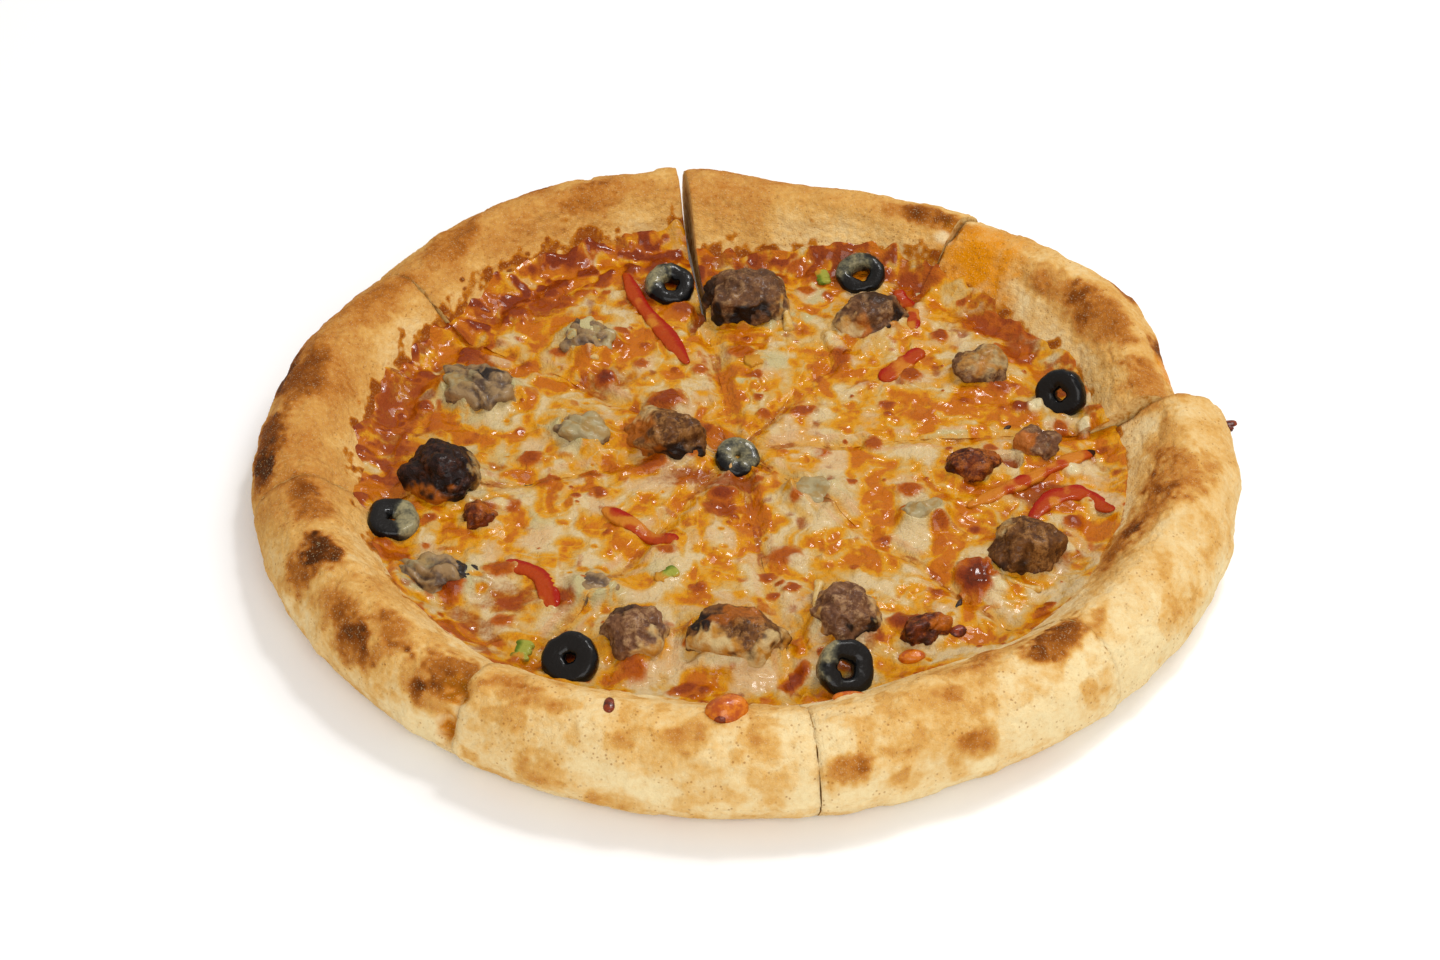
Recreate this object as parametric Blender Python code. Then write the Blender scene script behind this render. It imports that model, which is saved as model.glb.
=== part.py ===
"""A baked meat pizza, cut into eight slices that still lie together. Metres, +Z up.

The origin is on the underside, in the middle of the outline. +Y points to the back of the pizza, and
+X to its right. A bearing is an angle in degrees round the crossing of the cuts, from +X towards +Y,
and a run is a distance from that crossing.
"""

from dataclasses import dataclass
from math import atan2, cos, degrees, exp, hypot, pi, radians, sin, sqrt

import bmesh
import bpy
from mathutils import Matrix, Vector, noise

WIDTH = 0.296
DEPTH = 0.273
CROSSING = Vector((-0.0026, 0.0045, 0.0))

DOUGH_THICKNESS = 0.0065
CHEESE_THICKNESS = 0.0045
CHEESE_EDGE_THICKNESS = 0.0012
CHEESE_WAVE = 0.0009
CHEESE_WAVE_LENGTH = 0.024
CHEESE_FADE = 0.014
CUT_CREASE = 0.0022
CUT_CREASE_WIDTH = 0.004

FIT_GAP = 0.0004
CUT_GAP = 0.0008
RESTING_DEPTH = 0.020

BULGE_HEIGHT = 0.011
BULGE_TUCK = 0.010
CREST_INSET = 0.005
CREST_SHARE = 0.33
FOOT_RUN = 0.010
RIM_WAVE = 0.0011
RIM_WAVE_LENGTH = 0.030

SLICE_STEPS = 10
SPIN_STEP = 3.0
DOUGH_SHARES = (0.0, 0.22, 0.44, 0.64, 0.82)
TUCK_STEPS = 3
SHOULDER_STEPS = 4
INNER_SHARES = (0.3, 0.6, 0.85)

LUMP_DETAIL = 3.0
OLIVE_RADIUS = 0.0056
OLIVE_WALL = 0.0024
OLIVE_STRETCH = 1.25
OLIVE_SIDES = (14, 6)
PEPPER_THICKNESS = 0.0017
PEPPER_LIFT = 0.6
WELD = 1e-6


@dataclass(frozen=True)
class Rim:
    """The rim's section at one bearing: how far it stands out from the oval, and its height and width."""

    out: float
    height: float
    width: float


@dataclass(frozen=True)
class Slice:
    """One slice: the bearings of its two cuts, and its rim at the first cut, half way and at the last."""

    start: float
    end: float
    first: Rim
    middle: Rim
    last: Rim


@dataclass(frozen=True)
class Chunk:
    """A lump of meat or a piece of mushroom: its place, its size along, across and up, and its turn."""

    x: float
    y: float
    size: tuple
    turn: float = 0.0
    sunk: float = 0.35


@dataclass(frozen=True)
class Lump:
    """How finely a kind of chunk is faceted and how rough it is."""

    segments: int
    rings: int
    roughness: float
    seed_step: float


@dataclass(frozen=True)
class Ring:
    """A slice of olive: its place, its height over the cheese and the way that its hole faces."""

    x: float
    y: float
    lift: float
    faces: tuple
    scale: float = 1.0


@dataclass(frozen=True)
class Strip:
    """A strip of pepper: the places along it and its half width."""

    path: tuple
    half_width: float


SLICES = (
    Slice(4.4, 51.8, Rim(-0.013, 0.024, 0.024), Rim(-0.003, 0.028, 0.034), Rim(-0.005, 0.026, 0.029)),
    Slice(52.2, 98.0, Rim(-0.004, 0.027, 0.027), Rim(-0.007, 0.027, 0.029), Rim(0.002, 0.028, 0.040)),
    Slice(99.0, 148.3, Rim(0.003, 0.028, 0.029), Rim(0.004, 0.028, 0.028), Rim(-0.001, 0.027, 0.032)),
    Slice(148.7, 192.8, Rim(-0.001, 0.027, 0.031), Rim(-0.001, 0.028, 0.031), Rim(0.000, 0.026, 0.034)),
    Slice(193.2, 237.3, Rim(0.000, 0.026, 0.034), Rim(-0.001, 0.029, 0.029), Rim(0.000, 0.026, 0.028)),
    Slice(237.8, 278.3, Rim(0.001, 0.029, 0.031), Rim(0.001, 0.029, 0.034), Rim(0.001, 0.027, 0.035)),
    Slice(278.7, 315.3, Rim(0.001, 0.027, 0.035), Rim(-0.001, 0.029, 0.036), Rim(-0.001, 0.029, 0.032)),
    Slice(315.6, 363.6, Rim(-0.001, 0.029, 0.032), Rim(-0.001, 0.028, 0.033), Rim(0.000, 0.026, 0.034)),
)

MEAT_LUMP = Lump(12, 8, 0.22, 7.3)
MUSHROOM_LUMP = Lump(12, 6, 0.30, 3.1)

MEAT = (
    Chunk(0.0002, 0.0736, (0.026, 0.023, 0.019)),
    Chunk(0.0414, 0.0655, (0.023, 0.018, 0.016), 20.0),
    Chunk(0.0745, 0.0402, (0.018, 0.016, 0.011)),
    Chunk(-0.0915, -0.0112, (0.025, 0.021, 0.019)),
    Chunk(-0.0240, 0.0060, (0.026, 0.018, 0.017), -20.0),
    Chunk(-0.0320, -0.0775, (0.018, 0.019, 0.015), 30.0),
    Chunk(-0.0036, -0.0790, (0.028, 0.020, 0.018)),
    Chunk(0.0274, -0.0712, (0.020, 0.019, 0.018)),
    Chunk(0.0812, -0.0432, (0.021, 0.019, 0.017)),
    Chunk(0.0889, 0.0034, (0.015, 0.013, 0.011), 15.0),
    Chunk(0.0690, -0.0060, (0.017, 0.011, 0.009), 10.0),
    Chunk(-0.0785, -0.0290, (0.010, 0.010, 0.009)),
    Chunk(0.0500, -0.0745, (0.016, 0.010, 0.009), 25.0),
)

OLIVES = (
    Ring(-0.0238, 0.0815, 0.0020, (0.10, -0.35, 0.93)),
    Ring(0.0390, 0.0875, 0.0030, (-0.10, -0.40, 0.91)),
    Ring(0.0985, 0.0245, 0.0050, (-0.50, -0.72, 0.48)),
    Ring(-0.1045, -0.0300, 0.0012, (0.15, -0.05, 0.98)),
    Ring(-0.0490, -0.0885, 0.0042, (-0.15, -0.45, 0.88)),
    Ring(0.0265, -0.0930, 0.0050, (0.25, -0.55, 0.80)),
    Ring(-0.0025, -0.0005, 0.0012, (0.10, -0.30, 0.95), 0.85),
)

RED_PEPPERS = (
    Strip(((-0.0394, 0.0905), (-0.0345, 0.0750), (-0.0262, 0.0600), (-0.0180, 0.0430)), 0.0028),
    Strip(((0.0430, 0.0350), (0.0500, 0.0430), (0.0570, 0.0510)), 0.0030),
    Strip(((0.0835, -0.0300), (0.0915, -0.0200), (0.1020, -0.0175), (0.1085, -0.0270)), 0.0028),
    Strip(((-0.0428, -0.0240), (-0.0290, -0.0345), (-0.0200, -0.0385)), 0.0026),
    Strip(((-0.0705, -0.0470), (-0.0600, -0.0530), (-0.0548, -0.0665)), 0.0028),
    Strip(((0.0655, -0.0235), (0.0840, -0.0125), (0.1070, 0.0030)), 0.0022),
    Strip(((0.0500, 0.0820), (0.0550, 0.0730), (0.0545, 0.0600)), 0.0024),
)

MUSHROOMS = (
    Chunk(-0.0835, 0.0300, (0.026, 0.017, 0.010), -15.0),
    Chunk(-0.0495, 0.0545, (0.017, 0.018, 0.009), 60.0),
    Chunk(-0.0500, 0.0095, (0.013, 0.018, 0.008), 70.0),
    Chunk(-0.0905, -0.0530, (0.026, 0.015, 0.008), -5.0),
    Chunk(-0.0440, -0.0585, (0.014, 0.010, 0.009), 25.0),
    Chunk(0.0215, -0.0175, (0.019, 0.015, 0.008), -30.0),
    Chunk(0.0525, -0.0270, (0.015, 0.009, 0.007), 10.0),
)

GREEN_PEPPERS = (
    Strip(((-0.0640, -0.0850), (-0.0620, -0.0780)), 0.0026),
    Strip(((0.0000, 0.0430), (0.0060, 0.0455)), 0.0024),
    Strip(((0.0270, 0.0850), (0.0255, 0.0925)), 0.0024),
    Strip(((-0.0265, -0.0545), (-0.0200, -0.0505)), 0.0022),
)


def clear_scene():
    """Removes whatever the scene holds."""
    for obj in list(bpy.data.objects):
        bpy.data.objects.remove(obj, do_unlink=True)


def new_collection(name):
    """Adds a collection to the scene."""
    collection = bpy.data.collections.new(name)
    bpy.context.scene.collection.children.link(collection)
    return collection


def new_material(name, colour, roughness):
    """Makes a plain food finish."""
    material = bpy.data.materials.new(name)
    material.use_nodes = True
    shader = material.node_tree.nodes["Principled BSDF"]
    shader.inputs["Base Color"].default_value = (*colour, 1.0)
    shader.inputs["Roughness"].default_value = roughness
    shader.inputs["Metallic"].default_value = 0.0
    return material


def ease(share):
    """Goes smoothly from 0 to 1 as the share does."""
    share = min(max(share, 0.0), 1.0)
    return share * share * (3.0 - 2.0 * share)


def oval_run(bearing):
    """Distance from the crossing to the plain oval that the outline follows."""
    across, deep = cos(radians(bearing)), sin(radians(bearing))
    half_width, half_depth = WIDTH / 2, DEPTH / 2
    square = (across / half_width) ** 2 + (deep / half_depth) ** 2
    linear = CROSSING.x * across / half_width**2 + CROSSING.y * deep / half_depth**2
    offset = (CROSSING.x / half_width) ** 2 + (CROSSING.y / half_depth) ** 2 - 1.0
    return (-linear + sqrt(linear * linear - square * offset)) / square


def rim_at(cut, bearing):
    """The rim's outer run, height and width at a bearing, eased from cut to middle and on to cut."""
    share = 2.0 * (bearing - cut.start) / (cut.end - cut.start)
    before, after = (cut.first, cut.middle) if share < 1.0 else (cut.middle, cut.last)
    blend = ease(share % 1.0 if share < 2.0 else 1.0)
    out = before.out + (after.out - before.out) * blend
    height = before.height + (after.height - before.height) * blend
    width = before.width + (after.width - before.width) * blend
    return oval_run(bearing) + out, height, width


def edge_runs(cut, bearing):
    """Runs of the foot of the rim's inner slope, of the cheese's edge and of the rim's crest."""
    outer, _, width = rim_at(cut, bearing)
    cheese = outer - width
    return cheese - FOOT_RUN, cheese, outer - CREST_INSET - CREST_SHARE * width


def dough_top(cut, bearing, run):
    """Height of the dough's upper side, from the crossing out to the rim's crest."""
    foot, _, crest = edge_runs(cut, bearing)
    height = rim_at(cut, bearing)[1]
    return DOUGH_THICKNESS + (height - DOUGH_THICKNESS) * ease((run - foot) / (crest - foot))


def cheese_top(cut, bearing, run):
    """Height of the cheese, which thins to its edge, dips along the cuts and is wavy elsewhere."""
    body = ease((edge_runs(cut, bearing)[1] - run) / CHEESE_FADE)
    thickness = CHEESE_EDGE_THICKNESS + (CHEESE_THICKNESS - CHEESE_EDGE_THICKNESS) * body
    turn = radians(bearing)
    wave = CHEESE_WAVE * noise.noise(Vector((run * cos(turn), run * sin(turn), 0.0)) / CHEESE_WAVE_LENGTH)
    from_cut = run * sin(radians(min(bearing - cut.start, cut.end - bearing)))
    crease = CUT_CREASE * exp(-((from_cut / CUT_CREASE_WIDTH) ** 2))
    return dough_top(cut, bearing, run) + FIT_GAP + thickness + (wave - crease) * body


def surface(x, y):
    """Height of what a topping lies on, at a place."""
    run = hypot(x - CROSSING.x, y - CROSSING.y)
    bearing = degrees(atan2(y - CROSSING.y, x - CROSSING.x)) % 360.0
    for cut in SLICES:
        turn = bearing + 360.0 if bearing + 360.0 < cut.end else bearing
        if turn < cut.end:
            break
    turn = max(turn, cut.start)
    if run < edge_runs(cut, turn)[1]:
        return cheese_top(cut, turn, run)
    return dough_top(cut, turn, run)


def inner_runs(cut, bearing):
    """Runs of the section's points over the dough, from the crossing to the cheese's edge."""
    foot, cheese, _ = edge_runs(cut, bearing)
    return [foot * share for share in DOUGH_SHARES] + [foot, (foot + cheese) / 2, cheese]


def rim_wave(bearing, height):
    """Slow unevenness of the rim, in metres."""
    turn = radians(bearing)
    place = Vector((cos(turn) * WIDTH / 2, sin(turn) * DEPTH / 2, height)) / RIM_WAVE_LENGTH
    return RIM_WAVE * noise.noise(place)


def crust_section(cut, bearing):
    """Outline of the crust at a bearing as (run, height), round the underside, the rim and the dough."""
    outer, height, _ = rim_at(cut, bearing)
    _, cheese, crest = edge_runs(cut, bearing)
    outline = [(0.0, 0.0), ((outer - BULGE_TUCK) / 2, 0.0), (outer - BULGE_TUCK, 0.0)]
    for step in range(1, TUCK_STEPS + 1):
        turn = pi / 2 * step / TUCK_STEPS
        outline.append((outer - BULGE_TUCK * (1 - sin(turn)), BULGE_HEIGHT * (1 - cos(turn))))
    for step in range(1, SHOULDER_STEPS + 1):
        turn = pi / 2 * step / SHOULDER_STEPS
        run = crest + (outer - crest) * cos(turn)
        rise = BULGE_HEIGHT + (height - BULGE_HEIGHT) * sin(turn)
        wave = rim_wave(bearing, rise)
        outline.append((run + wave * cos(turn), rise + wave * sin(turn)))
    for share in reversed(INNER_SHARES):
        run = cheese + (crest - cheese) * share
        outline.append((run, dough_top(cut, bearing, run) + rim_wave(bearing, height) * share))
    outline.extend((run, dough_top(cut, bearing, run)) for run in reversed(inner_runs(cut, bearing)))
    return outline


def cheese_section(cut, bearing):
    """Outline of the cheese at a bearing: its underside outwards, then its upper side back."""
    runs = inner_runs(cut, bearing)
    under = [(run, dough_top(cut, bearing, run) + FIT_GAP) for run in runs]
    upper = [(run, cheese_top(cut, bearing, run)) for run in reversed(runs)]
    return under + upper


def resting_section(cut, bearing):
    """Outline of all that the toppings lie on, a gap higher, in from the rim's crest to the crossing."""
    _, cheese, crest = edge_runs(cut, bearing)
    slope = [cheese + (crest - cheese) * share for share in reversed(INNER_SHARES)]
    cover = 2 * FIT_GAP + CHEESE_EDGE_THICKNESS
    upper = [(run, dough_top(cut, bearing, run) + cover) for run in slope]
    upper.extend((run, cheese_top(cut, bearing, run) + FIT_GAP) for run in reversed(inner_runs(cut, bearing)))
    return [(0.0, -RESTING_DEPTH), (crest, -RESTING_DEPTH)] + upper


def turned(name, section, places, closed=False):
    """Spins a section round the crossing, and gives each place its own outline.

    A place is a slice and a bearing in it. A full turn spins the outline's edges alone, and a slice
    spins it as a face, which caps both its cuts. The spun points carry the number of their point in the
    outline, so each is then put where the outline of its own place has it.
    """
    mesh = bpy.data.meshes.new(name)
    work = bmesh.new()
    number_layer = work.verts.layers.int.new("number")
    for number, (run, height) in enumerate(section(*places[0])):
        vertex = work.verts.new((run, 0.0, height))
        vertex[number_layer] = number
    points = work.verts[:]
    if closed:
        for first, second in zip(points, points[1:]):
            work.edges.new((first, second))
    else:
        work.faces.new(points)
    steps = len(places) - (0 if closed else 1)
    angle = 2 * pi if closed else radians(SPIN_STEP * steps)
    bmesh.ops.spin(
        work,
        geom=work.verts[:] + work.edges[:] + work.faces[:],
        cent=(0.0, 0.0, 0.0),
        axis=(0.0, 0.0, 1.0),
        angle=angle,
        steps=steps,
        use_merge=closed,
    )
    for vertex in work.verts:
        step = round(atan2(vertex.co.y, vertex.co.x) % (2 * pi) / angle * steps) % len(places)
        cut, bearing = places[step]
        run, height = section(cut, bearing)[vertex[number_layer]]
        turn = radians(bearing)
        vertex.co = (CROSSING.x + run * cos(turn), CROSSING.y + run * sin(turn), height)
    bmesh.ops.remove_doubles(work, verts=work.verts, dist=WELD)
    bmesh.ops.recalc_face_normals(work, faces=work.faces)
    work.to_mesh(mesh)
    work.free()
    return mesh


def places_in(cut):
    """The places of a slice's sections, from cut to cut."""
    return [(cut, cut.start + (cut.end - cut.start) * step / SLICE_STEPS) for step in range(SLICE_STEPS + 1)]


def add_object(name, mesh, material, collection):
    """Puts a mesh in the scene as a named, smooth-shaded object."""
    mesh.name = name
    mesh.materials.append(material)
    mesh.shade_smooth()
    mesh.set_sharp_from_angle(angle=radians(50.0))
    obj = bpy.data.objects.new(name, mesh)
    collection.objects.link(obj)
    return obj


def add_slice(name, section, cut, material, collection):
    """Makes one slice's crust or cheese, moved out from the crossing by the width of the cuts."""
    mesh = turned(name, section, places_in(cut))
    half_angle = radians((cut.end - cut.start) / 2)
    middle = radians((cut.end + cut.start) / 2)
    shift = CUT_GAP / 2 / sin(half_angle)
    mesh.transform(Matrix.Translation((shift * cos(middle), shift * sin(middle), 0.0)))
    return add_object(name, mesh, material, collection)


def add_resting_cutter(collection):
    """Makes the solid that shapes the underside of every topping."""
    places = [place for cut in SLICES for place in places_in(cut)]
    mesh = turned("resting_surface", resting_section, places, closed=True)
    cutter = bpy.data.objects.new("resting_surface", mesh)
    collection.objects.link(cutter)
    cutter.hide_render = True
    cutter.display_type = "WIRE"
    return cutter


def lay_on(obj, cutter):
    """Cuts away what of a topping is under the cheese."""
    cut = obj.modifiers.new("rests_on_cheese", "BOOLEAN")
    cut.operation = "DIFFERENCE"
    cut.solver = "EXACT"
    cut.object = cutter


def lump_mesh(name, chunk, lump, number):
    """A sphere pressed to the chunk's size and roughened, standing at its place on the cheese."""
    mesh = bpy.data.meshes.new(name)
    work = bmesh.new()
    bmesh.ops.create_uvsphere(work, u_segments=lump.segments, v_segments=lump.rings, radius=0.5)
    for vertex in work.verts:
        bumps = noise.noise(vertex.co * LUMP_DETAIL + Vector((number * lump.seed_step, 0.0, 0.0)))
        vertex.co *= 1.0 + lump.roughness * bumps
    work.to_mesh(mesh)
    work.free()
    long, wide, high = chunk.size
    centre = surface(chunk.x, chunk.y) + high * (0.5 - chunk.sunk)
    mesh.transform(
        Matrix.Translation((chunk.x, chunk.y, centre))
        @ Matrix.Rotation(radians(chunk.turn), 4, "Z")
        @ Matrix.Diagonal((long, wide, high, 1.0))
    )
    return mesh


def olive_mesh(name, ring):
    """A barrel-shaped ring, turned the way that its hole faces."""
    bpy.ops.mesh.primitive_torus_add(
        major_segments=OLIVE_SIDES[0],
        minor_segments=OLIVE_SIDES[1],
        major_radius=OLIVE_RADIUS * ring.scale,
        minor_radius=OLIVE_WALL * ring.scale,
    )
    made = bpy.context.object
    mesh = made.data
    bpy.data.objects.remove(made, do_unlink=True)
    facing = Vector(ring.faces).to_track_quat("Z", "Y").to_matrix().to_4x4()
    centre = surface(ring.x, ring.y) + ring.lift
    stretch = Matrix.Diagonal((1.0, 1.0, OLIVE_STRETCH, 1.0))
    mesh.transform(Matrix.Translation((ring.x, ring.y, centre)) @ facing @ stretch)
    return mesh


def strip_mesh(name, strip):
    """A flattened strip along its places, made from a bevelled curve that follows the cheese."""
    guide = bpy.data.curves.new(name, "CURVE")
    guide.dimensions = "3D"
    guide.resolution_u = 3
    guide.bevel_depth = strip.half_width
    guide.bevel_resolution = 1
    guide.use_fill_caps = True
    spline = guide.splines.new("BEZIER")
    spline.bezier_points.add(len(strip.path) - 1)
    flat = PEPPER_THICKNESS / strip.half_width
    for point, (x, y) in zip(spline.bezier_points, strip.path):
        point.co = (x, y, (surface(x, y) + PEPPER_LIFT * PEPPER_THICKNESS) / flat)
        point.handle_left_type = point.handle_right_type = "AUTO"
    helper = bpy.data.objects.new(name, guide)
    bpy.context.scene.collection.objects.link(helper)
    evaluated = helper.evaluated_get(bpy.context.evaluated_depsgraph_get())
    mesh = bpy.data.meshes.new_from_object(evaluated)
    bpy.data.objects.remove(helper, do_unlink=True)
    bpy.data.curves.remove(guide)
    work = bmesh.new()
    work.from_mesh(mesh)
    bmesh.ops.remove_doubles(work, verts=work.verts, dist=WELD)
    bmesh.ops.recalc_face_normals(work, faces=work.faces)
    work.to_mesh(mesh)
    work.free()
    mesh.transform(Matrix.Diagonal((1.0, 1.0, flat, 1.0)))
    return mesh


def add_topping(name, mesh, material, collection, cutter):
    """Puts a topping in the scene and lets it rest on the cheese."""
    mesh.materials.clear()
    lay_on(add_object(name, mesh, material, collection), cutter)


def build():
    """Makes the whole pizza."""
    clear_scene()
    pizza = new_collection("meat_pizza")
    cutters = new_collection("cutters")
    crust = new_material("baked_crust", (0.72, 0.47, 0.22), 0.75)
    cheese = new_material("melted_cheese", (0.80, 0.49, 0.20), 0.42)
    meat = new_material("browned_meat", (0.13, 0.065, 0.045), 0.55)
    olive = new_material("black_olive", (0.012, 0.012, 0.016), 0.25)
    red_pepper = new_material("red_pepper", (0.62, 0.05, 0.01), 0.35)
    green_pepper = new_material("green_pepper", (0.28, 0.33, 0.06), 0.4)
    mushroom = new_material("mushroom", (0.36, 0.29, 0.21), 0.6)

    for number, cut in enumerate(SLICES, 1):
        add_slice(f"crust_slice_{number}", crust_section, cut, crust, pizza)
        add_slice(f"cheese_slice_{number}", cheese_section, cut, cheese, pizza)
    cutter = add_resting_cutter(cutters)
    for number, chunk in enumerate(MEAT, 1):
        mesh = lump_mesh("meat", chunk, MEAT_LUMP, number)
        add_topping(f"meat_{number}", mesh, meat, pizza, cutter)
    for number, chunk in enumerate(MUSHROOMS, 1):
        mesh = lump_mesh("mushroom", chunk, MUSHROOM_LUMP, number)
        add_topping(f"mushroom_{number}", mesh, mushroom, pizza, cutter)
    for number, ring in enumerate(OLIVES, 1):
        add_topping(f"olive_{number}", olive_mesh("olive", ring), olive, pizza, cutter)
    for number, strip in enumerate(RED_PEPPERS, 1):
        add_topping(f"red_pepper_{number}", strip_mesh("strip", strip), red_pepper, pizza, cutter)
    for number, strip in enumerate(GREEN_PEPPERS, 1):
        add_topping(f"green_pepper_{number}", strip_mesh("strip", strip), green_pepper, pizza, cutter)


build()
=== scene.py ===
"""Dresses a baked meat pizza: its crust, melted cheese and every topping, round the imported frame.

Metres, +Z up. The origin is on the underside, in the middle of the outline. A bearing is an angle in
degrees round the crossing of the cuts, from +X towards +Y, and a run is a distance from that crossing.
A column and a row are a pixel of the photograph, whose ray is followed to the pizza.
"""

import sys
import logging
from collections.abc import Callable
from dataclasses import dataclass
from enum import Enum
from itertools import product
from math import cos, radians, sin

import bpy
import numpy as np
from mathutils import Matrix, Vector, noise
from mathutils.bvhtree import BVHTree


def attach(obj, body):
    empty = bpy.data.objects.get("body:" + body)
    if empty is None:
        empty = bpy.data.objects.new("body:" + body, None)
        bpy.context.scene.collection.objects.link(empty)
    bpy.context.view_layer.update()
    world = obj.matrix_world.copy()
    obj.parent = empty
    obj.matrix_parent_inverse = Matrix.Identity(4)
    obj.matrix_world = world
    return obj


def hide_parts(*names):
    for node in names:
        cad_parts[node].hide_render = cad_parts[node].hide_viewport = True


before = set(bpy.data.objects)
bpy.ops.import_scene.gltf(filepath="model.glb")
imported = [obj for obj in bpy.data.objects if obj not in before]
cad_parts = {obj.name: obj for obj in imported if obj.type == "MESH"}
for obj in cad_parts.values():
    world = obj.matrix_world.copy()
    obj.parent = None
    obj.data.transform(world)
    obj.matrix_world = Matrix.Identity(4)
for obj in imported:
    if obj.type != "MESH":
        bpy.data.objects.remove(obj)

Array = np.ndarray
Pair = tuple[float, float]
Place = tuple[float, float, float]
LOG = logging.getLogger("meat_pizza")
BODY = "root"
WELD = 1e-6
TINY = 1e-12
# Degrees round a topping over which a patch on it fades.
PATCH_EDGE = 36.0
MM = 0.001
UP = (0.0, 0.0, 1.0)


def ease(share: Array) -> Array:
    """Goes smoothly from 0 to 1 as the share does.

    Args:
        share: Any numbers; those outside 0 to 1 are held at the ends.

    Returns:
        The eased numbers.
    """
    share = np.clip(share, 0.0, 1.0)
    return share * share * (3.0 - 2.0 * share)


def above(values: Array, edge: float, softness: float) -> Array:
    """Shows where values pass an edge.

    Args:
        values: The numbers to test.
        edge: The value in the middle of the change.
        softness: Half the width of the change.

    Returns:
        0 well under the edge, 1 well over it.
    """
    return ease((values - edge + softness) / (2.0 * softness))


def grain(points: Array, size: float, seed: int) -> Array:
    """Smooth random lumps in space.

    Args:
        points: Places, one a row, in metres.
        size: Distance between neighbouring lumps.
        seed: Which of the random patterns it is.

    Returns:
        A number from -1 to 1 for each place.
    """
    scaled = points / size + seed * 17.31
    cell = np.floor(scaled)
    part = scaled - cell
    blend = part * part * part * (part * (part * 6.0 - 15.0) + 10.0)
    corner = cell.astype(np.int64)
    total = np.zeros(len(points))
    for step in product((0, 1), repeat=points.shape[1]):
        mixed = np.full(len(points), seed * 7919 + 101, np.int64)
        weight = np.ones(len(points))
        for axis, up in enumerate(step):
            mixed = (mixed ^ (corner[:, axis] + up)) * 668265263 & 0xFFFFFFFF
            mixed = mixed ^ (mixed >> 15)
            weight = weight * (blend[:, axis] if up else 1.0 - blend[:, axis])
        mixed = mixed * 2246822519 & 0xFFFFFFFF
        total += weight * ((mixed ^ (mixed >> 13)) & 0xFFFF) / 0xFFFF
    return total * 2.0 - 1.0


def slow_wave(points: Array, size: float) -> Array:
    """The slow unevenness that the solids have too.

    Args:
        points: Places, one a row.
        size: Length of the wave.

    Returns:
        About -1 to 1 for each place.
    """
    scaled = (points / size).tolist()
    return np.fromiter((noise.noise(Vector(place)) for place in scaled), float, len(scaled))


def linear(tone: str) -> tuple[float, float, float, float]:
    """Turns a tone written as six hexadecimal digits into the linear colour of a shader.

    Args:
        tone: Red, green and blue as seen on a screen.

    Returns:
        Red, green, blue and alpha.
    """
    parts = [int(tone[at : at + 2], 16) / 255.0 for at in (0, 2, 4)]
    bright = [part / 12.92 if part <= 0.04045 else ((part + 0.055) / 1.055) ** 2.4 for part in parts]
    return (*bright, 1.0)


def unit(vectors: Array) -> Array:
    """Vectors of length one that point the same ways."""
    return vectors / np.linalg.norm(vectors, axis=-1, keepdims=True)


def towards(bearing: Array, middle: float) -> Array:
    """How nearly bearings are a given one: 1 there, 0 on the opposite side."""
    return 0.5 + 0.5 * np.cos(np.radians(bearing - middle))


def upright_turn(degrees: float) -> Array:
    """The matrix that turns places, one a row, about the upright axis when they are multiplied by it."""
    turn = radians(degrees)
    return np.array([[cos(turn), sin(turn), 0.0], [-sin(turn), cos(turn), 0.0], UP])


def from_oval(points: Array, middle: Pair, half: Pair, degrees: float, span: float) -> tuple[Array, Array]:
    """Measures how far out of a turned oval places are.

    Args:
        points: Places, one a row.
        middle: The oval's middle.
        half: Its half sizes.
        degrees: Its turn.
        span: How far to each side of its middle places still count.

    Returns:
        The numbers of the places that count, and their distance, 1 on the oval.
    """
    across, deep = points[:, 0] - middle[0], points[:, 1] - middle[1]
    near = np.nonzero((np.abs(across) < span) & (np.abs(deep) < span))[0]
    turn = radians(degrees)
    along = across[near] * cos(turn) + deep[near] * sin(turn)
    beside = deep[near] * cos(turn) - across[near] * sin(turn)
    return near, np.hypot(along / half[0], beside / half[1])


class Layers(dict[Enum, Array]):
    """How much each look or stain shows at many places."""

    def __init__(self, kinds: type[Enum], count: int) -> None:
        """Starts with none of them.

        Args:
            kinds: The looks or the stains.
            count: How many places there are.
        """
        super().__init__((kind, np.zeros(count)) for kind in kinds)

    def show(self, kind: Enum, values: Array, near: Array | slice = slice(None)) -> None:
        """Makes a kind show at least as much as some values, at the given places or at all."""
        self[kind][near] = np.maximum(self[kind][near], values)


@dataclass(frozen=True)
class Rim:
    """The rim's section at one bearing: how far it stands out from the oval, its height and width."""

    out: float
    height: float
    width: float


@dataclass(frozen=True)
class Slice:
    """One slice: its number, its cuts' bearings and its rim at the first cut, half way and at the last."""

    number: int
    start: float
    end: float
    first: Rim
    middle: Rim
    last: Rim


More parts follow.
